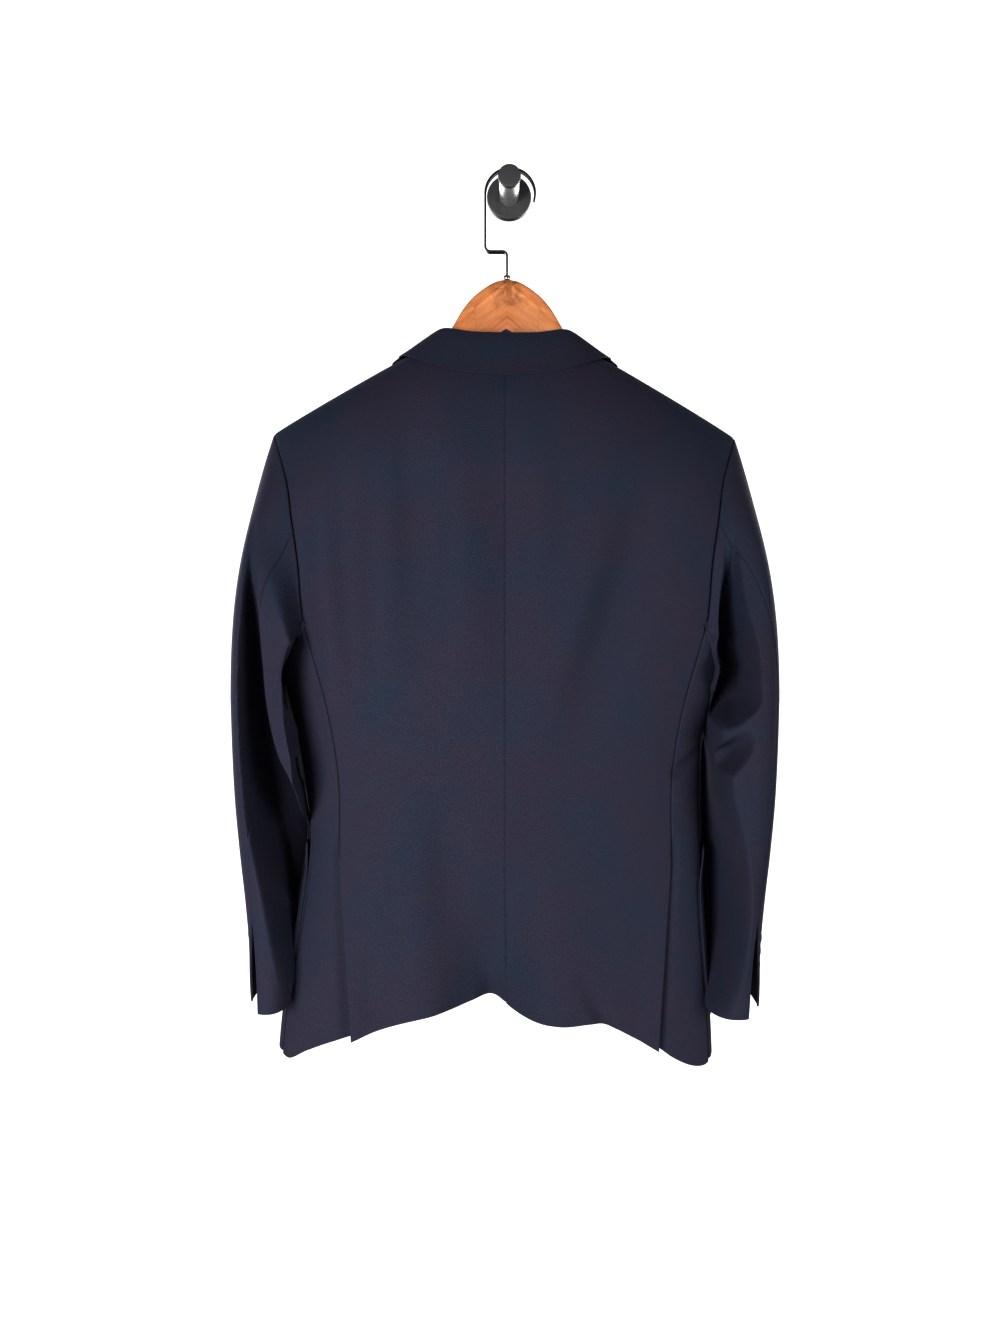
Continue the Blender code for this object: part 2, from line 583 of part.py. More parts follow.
def turned(name, radius, near_y, far_y, finish, collection, bevel=0.0006, segments=44):
    """A disc or shaft whose axis stands out from the wall."""
    bpy.ops.mesh.primitive_cylinder_add(
        vertices=segments, radius=radius, depth=abs(far_y - near_y),
        location=(0.0, 0.5 * (near_y + far_y), 0.0), rotation=(math.radians(90), 0, 0),
    )
    piece = bpy.context.object
    piece.name = name
    piece.data.name = name
    piece.data.materials.append(FINISH[finish])
    for home in list(piece.users_collection):
        home.objects.unlink(piece)
    collection.objects.link(piece)
    soften = piece.modifiers.new("Bevel", "BEVEL")
    soften.width, soften.segments, soften.limit_method = bevel, 1, "ANGLE"
    piece.data.shade_smooth()
    piece.data.set_sharp_from_angle(angle=math.radians(40))
    return piece


def strip(name, centre_line, thick, width, y, finish, collection):
    """A flat strip bent edgewise along a line of (x, z) points, its width square to the wall."""
    line = np.array(centre_line)
    ahead = np.gradient(line, axis=0)
    ahead /= np.linalg.norm(ahead, axis=1)[:, None]
    across = np.stack([-ahead[:, 1], ahead[:, 0]], axis=1)
    outline = np.concatenate([line + across * thick / 2, (line - across * thick / 2)[::-1]])
    curve = bpy.data.curves.new(name, "CURVE")
    curve.dimensions, curve.fill_mode, curve.extrude = "2D", "BOTH", width / 2
    spline = curve.splines.new("POLY")
    spline.points.add(len(outline) - 1)
    for point, (x, z) in zip(spline.points, outline):
        point.co = (x, z, 0.0, 1.0)
    spline.use_cyclic_u = True
    piece = bpy.data.objects.new(name, curve)
    curve.materials.append(FINISH[finish])
    piece.location = (0.0, y, 0.0)
    piece.rotation_euler = (math.radians(90), 0.0, 0.0)
    collection.objects.link(piece)
    return piece


def arc(centre, radius, first, last, count):
    angles = np.radians(np.linspace(first, last, count))
    return [(centre[0] + radius * math.cos(t), centre[1] + radius * math.sin(t)) for t in angles]


# The peg, the hook and the hanger
def build_peg(collection):
    turned("peg_plate", PLATE_RADIUS, 0.0, -PLATE_DEPTH, "black_metal", collection, bevel=0.0012)
    turned("peg_shaft", SHAFT_RADIUS, -PLATE_DEPTH - GAP, SHAFT_END_Y, "satin_metal", collection)
    cap_y = SHAFT_END_Y - GAP
    turned("peg_cap", CAP_RADIUS, cap_y, cap_y - CAP_DEPTH, "black_metal", collection)


def build_hook(collection):
    """One flat strip: the open bend over the peg, the straight drop, the offset and the short stem."""
    centre = (HOOK_X, SHAFT_RADIUS + GAP - HOOK_BEND + HOOK_THICK / 2)
    left = HOOK_X - HOOK_BEND
    line = arc(centre, HOOK_BEND, -17, 180, 34)
    line += [(left, -0.035), (left, -0.052)]
    line += arc((left + 0.0055, -0.0687), 0.0055, 180, 270, 7)
    line += [(STEM_X - 0.0100, -0.0742)]
    line += arc((STEM_X - 0.0045, -0.0787), 0.0045, 90, 0, 7)
    line += [(STEM_X, -0.088), (STEM_X, FERRULE_TOP + GAP)]
    strip("hook", line, HOOK_THICK, HOOK_WIDTH, HOOK_Y, "black_wire", collection)
    bpy.ops.mesh.primitive_cylinder_add(
        vertices=24, radius=FERRULE_RADIUS, depth=FERRULE_TOP - FERRULE_BOTTOM,
        location=(STEM_X, HOOK_Y, 0.5 * (FERRULE_TOP + FERRULE_BOTTOM)),
    )
    ferrule = bpy.context.object
    ferrule.name = "ferrule"
    ferrule.data.materials.append(FINISH["silver"])
    for home in list(ferrule.users_collection):
        home.objects.unlink(ferrule)
    collection.objects.link(ferrule)
    ferrule.data.shade_smooth()
    ferrule.data.set_sharp_from_angle(angle=math.radians(40))


def hanger_crest(side, distance, shift):
    """Top of the hanger: its dome in the neck, then the shoulder line less the cloth that rests on it."""
    dome = HANGER_TOP - smooth(HANGER_CREST, 1, distance)
    arm = ridge_height(side * distance + shift) - CLOTH - 0.0030
    share = ease(0.064, 0.084, distance)
    return dome + (np.minimum(arm, HANGER_TOP) - dome) * share


def build_hanger(side, name, collection):
    """Half of the hanger, as rounded sections from the centre joint out to the end of the arm."""
    centre = STEM_X
    stations = (
        0.00015, 0.007, 0.014, 0.023, 0.033, 0.043, 0.054, 0.066, 0.078, 0.092, 0.115, 0.145, 0.180, 0.205,
        0.214, 0.218,
    )
    shell = bmesh.new()
    loops = []
    for distance in stations:
        top = float(hanger_crest(side, np.array(distance), centre - JACKET_X))
        tall = 0.058 - 0.028 * float(ease(0.0, 0.12, np.array(distance)))
        thick = 0.013 + 0.005 * float(ease(0.09, 0.18, np.array(distance)))
        end = np.interp(distance, (0.180, 0.205, 0.214, 0.218), (1.0, 0.90, 0.72, 0.40))
        mid_y = HOOK_Y + (HANGER_Y - HOOK_Y) * float(ease(0.01, 0.075, np.array(distance)))
        mid_z = top - tall / 2
        ring = []
        for step in range(HANGER_SIDES):
            angle = 2 * math.pi * step / HANGER_SIDES
            across = math.copysign(abs(math.sin(angle)) ** (2 / 2.2), math.sin(angle))
            high = math.copysign(abs(math.cos(angle)) ** (2 / 2.6), math.cos(angle))
            y, z = mid_y + 0.5 * thick * end * across, mid_z + 0.5 * tall * end * high
            ring.append(shell.verts.new((centre + side * distance, y, z)))
        loops.append(ring)
    for near, far in zip(loops, loops[1:]):
        for step in range(HANGER_SIDES):
            other = (step + 1) % HANGER_SIDES
            shell.faces.new((near[step], near[other], far[other], far[step]))
    shell.faces.new(loops[0])
    shell.faces.new(loops[-1])
    bmesh.ops.recalc_face_normals(shell, faces=shell.faces[:])
    mesh = bpy.data.meshes.new(name)
    shell.to_mesh(mesh)
    shell.free()
    mesh.shade_smooth()
    mesh.set_sharp_from_angle(angle=math.radians(40))
    keep(name, mesh, FINISH["wood"], collection)


def build_loop(collection):
    """A narrow tape, sewn inside the stand at both ends, whose peak shows above the collar."""

    def surface(across, along):
        x = 0.030 * (2 * along - 1)
        peak = 0.0240 * (1 - np.abs(2 * along - 1)) ** 0.9
        height = -0.1890 + peak + 0.006 * across
        share = np.abs(x) / 0.18
        stand = collar_surface(np.interp(height, (-0.1925, -0.1675), (0.0, 0.34)), np.sign(x) * share + 1e-6)
        y = np.maximum(stand[..., 1], -0.0850) + 0.0026
        return np.stack([JACKET_X + 0.001 + x, y, height], axis=-1)

    cloth_panel("hanging_loop", surface, (0.0, 1.0), np.linspace(0, 1, 13), collection, wall=0.001)


# The garment
def build_body(side, word, collection):
    panels = (
        ("back", back_surface, BACK_COLUMNS, BODY_ROWS, side < 0),
        ("side", side_surface, np.linspace(0, 1, 8), np.linspace(0, 1, 17), side < 0),
        ("front", front_surface, FRONT_COLUMNS, BODY_ROWS, side > 0),
        ("pocket", pocket_surface, POCKET_COLUMNS, POCKET_ROWS, side > 0),
        ("lapel", lapel_surface, np.linspace(0, 1, 6), np.linspace(0, 1, 11), side > 0),
    )
    for kind, surface, columns, rows, flip in panels:
        cloth_panel(f"{kind}_{word}", surface(side), columns, rows, collection, flip=flip)


def build_sleeve(side, word, collection):
    for top, kind in ((True, "top"), (False, "under")):
        name = f"{kind}_sleeve_{word}"
        cloth_panel(name, sleeve_panel(side, top), SLEEVE_COLUMNS, SLEEVE_ROWS, collection, flip=side < 0)


def button(name, spot, normal, radius, collection):
    """A turned button: a disc with a raised rim, set just off the cloth."""
    bpy.ops.mesh.primitive_cylinder_add(vertices=20, radius=radius, depth=0.0032)
    piece = bpy.context.object
    piece.name = name
    piece.data.materials.append(FINISH["horn"])
    for home in list(piece.users_collection):
        home.objects.unlink(piece)
    collection.objects.link(piece)
    from_z = normal / np.linalg.norm(normal)
    piece.rotation_mode = "QUATERNION"
    piece.rotation_quaternion = Vector((0, 0, 1)).rotation_difference(Vector(from_z))
    piece.location = Vector(spot + from_z * (0.0016 + 0.0006))
    soften = piece.modifiers.new("Bevel", "BEVEL")
    soften.width, soften.segments, soften.limit_method = 0.0008, 1, "ANGLE"
    piece.data.shade_smooth()
    piece.data.set_sharp_from_angle(angle=math.radians(40))


def build_buttons(collection):
    place = front_lift(-1, 0.0)
    for number, height in enumerate(BUTTON_Z):
        spot = place(np.array(0.0), np.array(height))
        button(f"front_button_{number + 1}", spot, np.array([0.0, 1.0, 0.0]), 0.010, collection)
    for side, word in ((-1, "left"), (1, "right")):
        surface = sleeve_surface(side)
        for number in range(4):
            down = np.array(0.870 + 0.0280 * number)
            around = np.array(0.038 - 0.034)
            spot = surface(around, down)
            beside, below = surface(around + 1e-4, down), surface(around, down + 1e-4)
            normal = side * np.cross(beside - spot, below - spot)
            button(f"cuff_button_{word}_{number + 1}", spot, normal, 0.0064, collection)


clear_scene()

BLAZER = bpy.data.collections.new("single_breasted_blazer")
bpy.context.scene.collection.children.link(BLAZER)
FINISH = {
    "cloth": material("navy_wool", NAVY, 0.85),
    "horn": material("dark_navy_horn", (0.012, 0.012, 0.018), 0.35),
    "wood": material("stained_wood", (0.46, 0.16, 0.06), 0.40),
    "black_wire": material("black_lacquered_steel", (0.012, 0.012, 0.013), 0.35, 0.6),
    "black_metal": material("matt_black_metal", (0.045, 0.045, 0.048), 0.55, 0.7),
    "satin_metal": material("satin_steel", (0.55, 0.55, 0.56), 0.35, 1.0),
    "silver": material("nickel_plate", (0.75, 0.75, 0.76), 0.20, 1.0),
}
build_peg(BLAZER)
build_hook(BLAZER)
for side, word in ((-1, "left"), (1, "right")):
    build_hanger(side, f"hanger_{word}", BLAZER)
    build_body(side, word, BLAZER)
    build_sleeve(side, word, BLAZER)
cloth_panel(
    "collar", collar_surface, COLLAR_COLUMNS, np.linspace(-1, 1, 25), BLAZER, low=(0.0, -1.0), flip=False
)
build_loop(BLAZER)
build_buttons(BLAZER)
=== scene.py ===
# %% [markdown]
# # A blazer on its hanger, on a wall peg
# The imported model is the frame: its solids fix where everything is, in metres, with the wall at Y = 0 and
# +Z up. The blazer hangs with its front to the wall, so its back faces -Y and the wearer's left is at -X.
# Every piece below is made in that frame and takes the place of its solid.

import math

import bmesh
import bpy
import numpy as np
from mathutils import Matrix, Vector


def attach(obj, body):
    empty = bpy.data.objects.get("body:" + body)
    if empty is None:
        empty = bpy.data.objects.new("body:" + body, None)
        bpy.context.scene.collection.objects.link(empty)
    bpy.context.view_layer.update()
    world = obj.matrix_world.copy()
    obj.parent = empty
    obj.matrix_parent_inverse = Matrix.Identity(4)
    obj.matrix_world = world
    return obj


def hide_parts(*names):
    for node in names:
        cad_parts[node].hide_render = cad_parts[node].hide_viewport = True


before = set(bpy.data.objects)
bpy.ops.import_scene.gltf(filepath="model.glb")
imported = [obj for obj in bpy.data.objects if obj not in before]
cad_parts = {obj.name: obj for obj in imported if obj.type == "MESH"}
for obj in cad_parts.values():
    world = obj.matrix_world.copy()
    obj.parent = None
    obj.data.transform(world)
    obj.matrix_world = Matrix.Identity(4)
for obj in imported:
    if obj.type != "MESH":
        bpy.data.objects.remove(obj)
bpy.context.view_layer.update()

# %% [markdown]
# ## Camera, light and stage
# The camera stands a metre in front of the wall, level with the middle of the blazer, as someone would who
# looks straight at it. The wall itself is left out, because it would hide the front from behind, and the
# pale surroundings stand for it. One broad lamp on the left, level with the waist, shapes the folds of the
# dark cloth. A larger, weaker one on the right opens the shadows. Two more stand beyond the wall's plane and
# light the front, for whoever walks round it. The floor ends below the wall.

# %% Camera
camera_data = bpy.data.cameras.new("camera")
camera_data.lens, camera_data.sensor_width = 26.0, 36.0
camera = bpy.data.objects.new("camera", camera_data)
camera.location = (-0.0096, -1.03, -0.499)
camera.rotation_euler = (math.radians(90), 0.0, 0.0)
bpy.context.scene.collection.objects.link(camera)
bpy.context.scene.camera = camera
print("camera at", tuple(round(c, 3) for c in camera.location), "lens", camera_data.lens, "mm")


# %% Lamps
def lamp(name, place, aim, width, power):
    """A square soft box at a place, turned to an aim."""
    light = bpy.data.lights.new(name, "AREA")
    light.shape, light.size, light.energy = "SQUARE", width, power
    holder = bpy.data.objects.new(name, light)
    holder.location = place
    holder.rotation_euler = (Vector(aim) - Vector(place)).to_track_quat("-Z", "Y").to_euler()
    bpy.context.scene.collection.objects.link(holder)
    print(f"{name}: {power:.0f} W, {width} m wide, at {place}")


lamp("window_left", (-0.85, -1.50, -0.60), (0.0, -0.08, -0.52), 0.7, 32.0)
lamp("room_right", (1.6, -1.5, -0.50), (0.0, -0.08, -0.50), 1.0, 21.0)
lamp("wall_bounce_left", (-1.9, 2.6, 0.2), (0.0, -0.03, -0.50), 2.0, 75.0)
lamp("wall_bounce_right", (1.9, 2.6, 0.2), (0.0, -0.03, -0.50), 2.0, 75.0)

# %% Surroundings and floor
scene = bpy.context.scene
scene.view_settings.view_transform, scene.view_settings.look = "Standard", "High Contrast"
world = bpy.data.worlds.new("pale_room")
scene.world = world
world.use_nodes = True
room = world.node_tree.nodes
links = world.node_tree.links
soft, seen, choose, ray = (
    room["Background"],
    room.new("ShaderNodeBackground"),
    room.new("ShaderNodeMixShader"),
    room.new("ShaderNodeLightPath"),
)
soft.inputs["Color"].default_value, soft.inputs["Strength"].default_value = (0.95, 0.97, 1.0, 1.0), 0.11
seen.inputs["Color"].default_value, seen.inputs["Strength"].default_value = (1.0, 1.0, 1.0, 1.0), 1.0
links.new(ray.outputs["Is Camera Ray"], choose.inputs["Fac"])
links.new(soft.outputs["Background"], choose.inputs[1])
links.new(seen.outputs["Background"], choose.inputs[2])
links.new(choose.outputs["Shader"], room["World Output"].inputs["Surface"])


# %% [markdown]
# ## Finishes
# Colours are given as sRGB hex and turned to linear light by one function. One more function adds a node
# with its settings and its links, so each finish reads from top to bottom.

# %% Colour and node helpers
def linear(hex_colour):
    """An sRGB hex colour as linear light."""
    parts = [int(hex_colour[i : i + 2], 16) / 255 for i in (1, 3, 5)]
    return (*[c / 12.92 if c <= 0.04045 else ((c + 0.055) / 1.055) ** 2.4 for c in parts], 1.0)


def node(finish, kind, links=None, **settings):
    """Adds a node. A setting is an attribute or an input's value, and a link is input: (node, output)."""
    tree = finish.node_tree
    made = tree.nodes.new(kind)
    for name, value in settings.items():
        if hasattr(made, name):
            setattr(made, name, value)
        else:
            made.inputs[name.replace("_", " ")].default_value = value
    for name, (source, output) in (links or {}).items():
        tree.links.new(source.outputs[output], made.inputs[name])
    return made


def finish_of(name, colour, roughness, metallic=0.0):
    made = bpy.data.materials.new(name)
    made.use_nodes = True
    shader = made.node_tree.nodes["Principled BSDF"]
    shader.inputs["Base Color"].default_value = linear(colour)
    shader.inputs["Roughness"].default_value = roughness
    shader.inputs["Metallic"].default_value = metallic
    print("finish", name)
    return made, shader


def feed(finish, shader, name, source, output):
    finish.node_tree.links.new(source.outputs[output], shader.inputs[name])


def ramp(colours, *stops):
    """Sets a colour ramp's first two stops, and adds the others."""
    elements = colours.color_ramp.elements
    for number, (position, colour) in enumerate(stops):
        stop = elements[number] if number < 2 else elements.new(position)
        stop.position, stop.color = position, linear(colour)


# %% [markdown]
# ### Worsted wool
# The cloth is a navy worsted twill, spun from wool that was dyed before spinning, so single fibres differ a
# little in hue and the cloth has a faint blue and violet mottle. It is woven in a twill of about 0.6 mm,
# too fine to show at this distance, so it is drawn at 1.9 mm. The pattern follows each piece's own cut
# through its UV map, which is in metres. Wool hairs give a soft sheen at grazing angles.

# %% Wool
WAVE_AT_ONE = 0.314  # a wave texture of scale 1 repeats every 0.314 m
TWILL_WIDTH, FIBRE_SIZE, MOTTLE_SIZE = 0.0019, 0.0016, 0.11
wool, shader = finish_of("navy_worsted_wool", "#2b2d3c", 0.86)
shader.inputs["Specular IOR Level"].default_value = 0.28
shader.inputs["Sheen Weight"].default_value = 0.08
shader.inputs["Sheen Roughness"].default_value = 0.45
shader.inputs["Sheen Tint"].default_value = linear("#8f93b8")
cut = node(wool, "ShaderNodeUVMap", uv_map="cut")
twill_turn = node(
    wool, "ShaderNodeMapping", {"Vector": (cut, "UV")},
    Rotation=(0.0, 0.0, math.radians(-63)), Scale=(1.0, 1.0, 1.0),
)
twill = node(
    wool, "ShaderNodeTexWave", {"Vector": (twill_turn, "Vector")},
    wave_type="BANDS", bands_direction="X", wave_profile="SIN",
    Scale=WAVE_AT_ONE / TWILL_WIDTH, Distortion=2.4, Detail=2.0, Detail_Scale=1.3,
)
fibre = node(
    wool, "ShaderNodeTexNoise", {"Vector": (cut, "UV")},
    Scale=1 / FIBRE_SIZE, Detail=3.0, Roughness=0.7,
)
mottle = node(
    wool, "ShaderNodeTexNoise", {"Vector": (cut, "UV")},
    Scale=1 / MOTTLE_SIZE, Detail=3.0, Roughness=0.55,
)
hue = node(wool, "ShaderNodeValToRGB", {"Fac": (mottle, "Fac")})
ramp(hue, (0.36, "#2a2634"), (0.64, "#212836"))
grain = node(
    wool, "ShaderNodeMapRange", {"Value": (fibre, "Fac")},
    From_Min=0.3, From_Max=0.7, To_Min=0.72, To_Max=1.30,
)
ribs = node(wool, "ShaderNodeMapRange", {"Value": (twill, "Fac")}, To_Min=0.90, To_Max=1.08)
depth = node(wool, "ShaderNodeMath", {0: (grain, "Result"), 1: (ribs, "Result")}, operation="MULTIPLY")
tone = node(
    wool, "ShaderNodeMix", {6: (hue, "Color"), 7: (depth, "Value")},
    data_type="RGBA", blend_type="MULTIPLY",
)
tone.inputs[0].default_value = 1.0
bump_height = node(wool, "ShaderNodeMath", {0: (twill, "Fac"), 1: (fibre, "Fac")}, operation="ADD")
bump = node(wool, "ShaderNodeBump", {"Height": (bump_height, "Value")}, Strength=0.35, Distance=0.0004)
feed(wool, shader, "Base Color", tone, 2)
feed(wool, shader, "Normal", bump, "Normal")

# %% [markdown]
# ### Horn, wood and metals
# The buttons are polished horn: dark, with faint paler streaks. The hanger is a close-grained wood in a
# red-brown stain under satin lacquer. Its two halves were cut from one board and opened like a book, so the
# grain rises to the middle on both sides. Fine pores and broad patches of lighter and deeper stain break it
# up. Painted shade darkens a blotchy patch at the top of the hanger, near the middle and under the hook. The
# hook is flat steel strip in black lacquer, which keeps a soft gloss. The peg's plate and cap were powder
# coated, which leaves a fine matt grain, and its shaft is steel brushed along its length, so its highlights
# spread sideways. The ferrule is plated and bright. The buttons' thread is dull twisted cotton, and the floor
# is a pale matt paint.

# %% Horn
horn, shader = finish_of("polished_dark_horn", "#15161c", 0.28)
place = node(horn, "ShaderNodeTexCoord")
streaks = node(
    horn, "ShaderNodeTexNoise", {"Vector": (place, "Object")},
    Scale=1 / 0.006, Detail=4.0, Distortion=1.2,
)
streak_colour = node(horn, "ShaderNodeValToRGB", {"Fac": (streaks, "Fac")})
ramp(streak_colour, (0.45, "#101117"), (0.75, "#2c2c35"))
feed(horn, shader, "Base Color", streak_colour, "Color")

# %% Stained wood
GRAIN_TURN = (0.0, 0.0, math.radians(-38))
FIGURE_SIZE = (1 / 12, 1 / 95, 1.0)  # m along and across the grain
PORE_SIZE = (1 / 70, 1 / 1300, 1.0)
wood, shader = finish_of("stained_lacquered_wood", "#b9703f", 0.48)
shader.inputs["Coat Weight"].default_value = 0.15
shader.inputs["Coat Roughness"].default_value = 0.22
board = node(wood, "ShaderNodeUVMap", uv_map="board")
along_grain = node(
    wood, "ShaderNodeMapping", {"Vector": (board, "UV")},
    vector_type="TEXTURE", Rotation=GRAIN_TURN, Scale=FIGURE_SIZE,
)
bend = node(wood, "ShaderNodeTexNoise", {"Vector": (board, "UV")}, Scale=16.0, Detail=2.0)
figure = node(
    wood, "ShaderNodeTexNoise", {"Vector": (along_grain, "Vector")},
    Scale=1.0, Detail=6.0, Roughness=0.66, Distortion=1.6,
)
pores = node(
    wood, "ShaderNodeMapping", {"Vector": (board, "UV")},
    vector_type="TEXTURE", Rotation=GRAIN_TURN, Scale=PORE_SIZE,
)
pore = node(wood, "ShaderNodeTexNoise", {"Vector": (pores, "Vector")}, Scale=1.0, Detail=2.0)
stain = node(wood, "ShaderNodeValToRGB", {"Fac": (figure, "Fac")})
ramp(stain, (0.24, "#8f5436"), (0.66, "#bf8358"), (0.46, "#ad6f45"))
patch = node(
    wood, "ShaderNodeMapRange", {"Value": (bend, "Fac")},
    From_Min=0.35, From_Max=0.65, To_Min=0.82, To_Max=1.08,
)
pore_dark = node(
    wood, "ShaderNodeMapRange", {"Value": (pore, "Fac")},
    From_Min=0.25, From_Max=0.45, To_Min=0.78, To_Max=1.0,
)
grain_shade = node(
    wood, "ShaderNodeMath", {0: (patch, "Result"), 1: (pore_dark, "Result")}, operation="MULTIPLY"
)

# %% Painted shade under the hook
# Painted shade: a blotchy patch at the top of the hanger, near the middle and under the hook, is darkened
where = node(wood, "ShaderNodeTexCoord")
split = node(wood, "ShaderNodeSeparateXYZ", {"Vector": (where, "Object")})
# Blotchy noise that gives the painted shade its shape
shade_blotch_noise = node(
    wood, "ShaderNodeTexNoise", {"Vector": (where, "Object")},
    Scale=1 / 0.012, Detail=3.0, Distortion=0.6,
)
up_top = node(
    wood, "ShaderNodeMapRange", {"Value": (split, "Z")},
    From_Min=-0.147, From_Max=-0.112, To_Min=0.0, To_Max=1.0,
)
from_middle = node(wood, "ShaderNodeMath", {0: (split, "X")}, operation="ABSOLUTE")
near_middle = node(
    wood, "ShaderNodeMapRange", {"Value": (from_middle, "Value")},
    From_Min=0.003, From_Max=0.026, To_Min=1.0, To_Max=0.0,
)
below_hook = node(
    wood, "ShaderNodeMath", {0: (up_top, "Result"), 1: (near_middle, "Result")}, operation="MULTIPLY"
)
blotch = node(
    wood, "ShaderNodeMapRange", {"Value": (shade_blotch_noise, "Fac")},
    From_Min=0.42, From_Max=0.60, To_Min=0.0, To_Max=0.75,
)
# Painted shade: how much the top middle of the hanger is darkened, under the hook
painted_shade = node(
    wood, "ShaderNodeMath", {0: (below_hook, "Value"), 1: (blotch, "Result")}, operation="MULTIPLY"
)
outside_painted_shade = node(wood, "ShaderNodeMath", {1: (painted_shade, "Value")}, operation="SUBTRACT")
outside_painted_shade.inputs[0].default_value = 1.0
# The grain's own tone times the painted shade under the hook
shade = node(
    wood, "ShaderNodeMath", {0: (grain_shade, "Value"), 1: (outside_painted_shade, "Value")}, operation="MULTIPLY"
)
stained = node(
    wood, "ShaderNodeMix", {6: (stain, "Color"), 7: (shade, "Value")},
    data_type="RGBA", blend_type="MULTIPLY",
)
stained.inputs[0].default_value = 1.0
feed(wood, shader, "Base Color", stained, 2)
wood_bump = node(wood, "ShaderNodeBump", {"Height": (pore, "Fac")}, Strength=0.12, Distance=0.0002)
feed(wood, shader, "Normal", wood_bump, "Normal")

# %% Metals and thread
lacquer, shader = finish_of("black_lacquered_steel", "#0e0e0f", 0.42)
powder, shader = finish_of("powder_coated_black_metal", "#3a3b3d", 0.52)
place = node(powder, "ShaderNodeTexCoord")
speck = node(powder, "ShaderNodeTexNoise", {"Vector": (place, "Object")}, Scale=1 / 0.0009, Detail=2.0)
powder_bump = node(powder, "ShaderNodeBump", {"Height": (speck, "Fac")}, Strength=0.25, Distance=0.00015)
feed(powder, shader, "Normal", powder_bump, "Normal")
satin, shader = finish_of("brushed_satin_steel", "#dededc", 0.40, 1.0)
place = node(satin, "ShaderNodeTexCoord")
brushing = node(satin, "ShaderNodeMapping", {"Vector": (place, "Object")}, Scale=(2200.0, 30.0, 2200.0))
scratches = node(satin, "ShaderNodeTexNoise", {"Vector": (brushing, "Vector")}, Scale=1.0, Detail=3.0)
roughness = node(satin, "ShaderNodeMapRange", {"Value": (scratches, "Fac")}, To_Min=0.36, To_Max=0.56)
feed(satin, shader, "Roughness", roughness, "Result")
nickel, shader = finish_of("bright_nickel_plate", "#d6d5d2", 0.16, 1.0)
thread, shader = finish_of("twisted_cotton_thread", "#1d1e28", 0.8)
pale_floor, shader = finish_of("pale_floor_paint", "#e6e6e4", 0.7)

# %% Floor
floor_mesh = bmesh.new()
bmesh.ops.create_grid(floor_mesh, x_segments=1, y_segments=1, size=1.0)
spread = Matrix.Translation((0.0, -1.55, -1.30)) @ Matrix.Diagonal((2.4, 1.55, 1.0, 1.0))
bmesh.ops.transform(floor_mesh, matrix=spread, verts=floor_mesh.verts)
floor_data = bpy.data.meshes.new("floor")
floor_mesh.to_mesh(floor_data)
floor_mesh.free()
floor_data.materials.append(pale_floor)
floor = bpy.data.objects.new("floor", floor_data)
bpy.context.scene.collection.objects.link(floor)
print("floor", len(floor_data.polygons), "face")

# %% [markdown]
# ## The garment's own measure
# A tailored jacket is flat pieces of cloth whose shape is fixed by a few sizes: how wide the shoulder is, how
# deep the chest, where each seam runs. Those sizes and a short table for each edge are set down here. Each
# panel below is then a surface worked out from them, which keeps every seam shared by the two panels that
# meet there. Sculpting would be quicker to start, but its seams would drift apart.

# %% Driving dimensions
CLOTH = 0.0015  # wall of every cloth panel
GAP = -0.0004  # panels that share a seam overlap a little in it, so that no light comes through
JACKET_X = -0.0045  # the garment's centre line hangs a little to the wearer's left of the peg
SIDE_Y = -0.065  # depth of the side line, halfway between back and front, below the armholes
ROUNDNESS = 2.6  # exponent of the flattened oval that the body's sections follow
NECK_HALF = 0.078  # half width of the neck at the shoulder line
NECK_BACK_Z = -0.193  # neck seam at the centre back
RIDGE_Z = -0.1665  # height of the shoulder line at the neck
RIDGE_Y = -0.0455  # depth of the shoulder line
HANGER_Y = -0.0520  # depth of the hanger's arms, a little behind it
SHOULDER_SLOPE = 0.585
SHOULDER_HALF = 0.235
SHOULDER_LEAN = 0.0106  # the right shoulder hangs lower than the left
BUTTON_Z = (-0.585, -0.690)
VENT_TOP_Z = -0.685
VENT_LIFT, CUFF_LIFT = 0.0045, 0.0012  # how far the free edges of the vents stand off
UNDERLAP = 0.026
CUFF_BACK_Z, CUFF_FRONT_Z = -0.833, -0.824
SLEEVE_CLEAR = 0.0050  # of the sleeve's inner side from the body
ELBOW_RING_Z = -0.53

# %% Edges of the body panels
# Sections of the body: height, half width at the wearer's left and right, depth of the back and front
BODY = (
    (-0.150, 0.240, 0.240, -0.112, -0.030),
    (-0.260, 0.238, 0.238, -0.122, -0.018),
    (-0.330, 0.236, 0.236, -0.127, -0.014),
    (-0.420, 0.234, 0.232, -0.128, -0.013),
    (-0.500, 0.222, 0.216, -0.124, -0.014),
    (-0.568, 0.2066, 0.1960, -0.118, -0.016),
    (-0.620, 0.1980, 0.1938, -0.114, -0.018),
    (-0.664, 0.1939, 0.1943, -0.112, -0.018),
    (-0.726, 0.2025, 0.1960, -0.110, -0.017),
    (-0.783, 0.2126, 0.2002, -0.108, -0.014),
    (-0.837, 0.2217, 0.2044, -0.106, -0.012),
    (-0.900, 0.2275, 0.2072, -0.104, -0.011),
)
# Outer edge of the back panels: height, distance from the centre line. Side seam below, armhole above
BACK_EDGE = (
    (-0.900, 0.1475), (-0.865, 0.1485), (-0.770, 0.1550), (-0.685, 0.1606), (-0.600, 0.1620),
    (-0.530, 0.1740), (-0.485, 0.1865), (-0.455, 0.1945), (-0.440, 0.1960), (-0.400, 0.1990),
    (-0.360, 0.2055), (-0.315, 0.2145), (-0.285, 0.2260), (-0.2625, 0.2350),
)
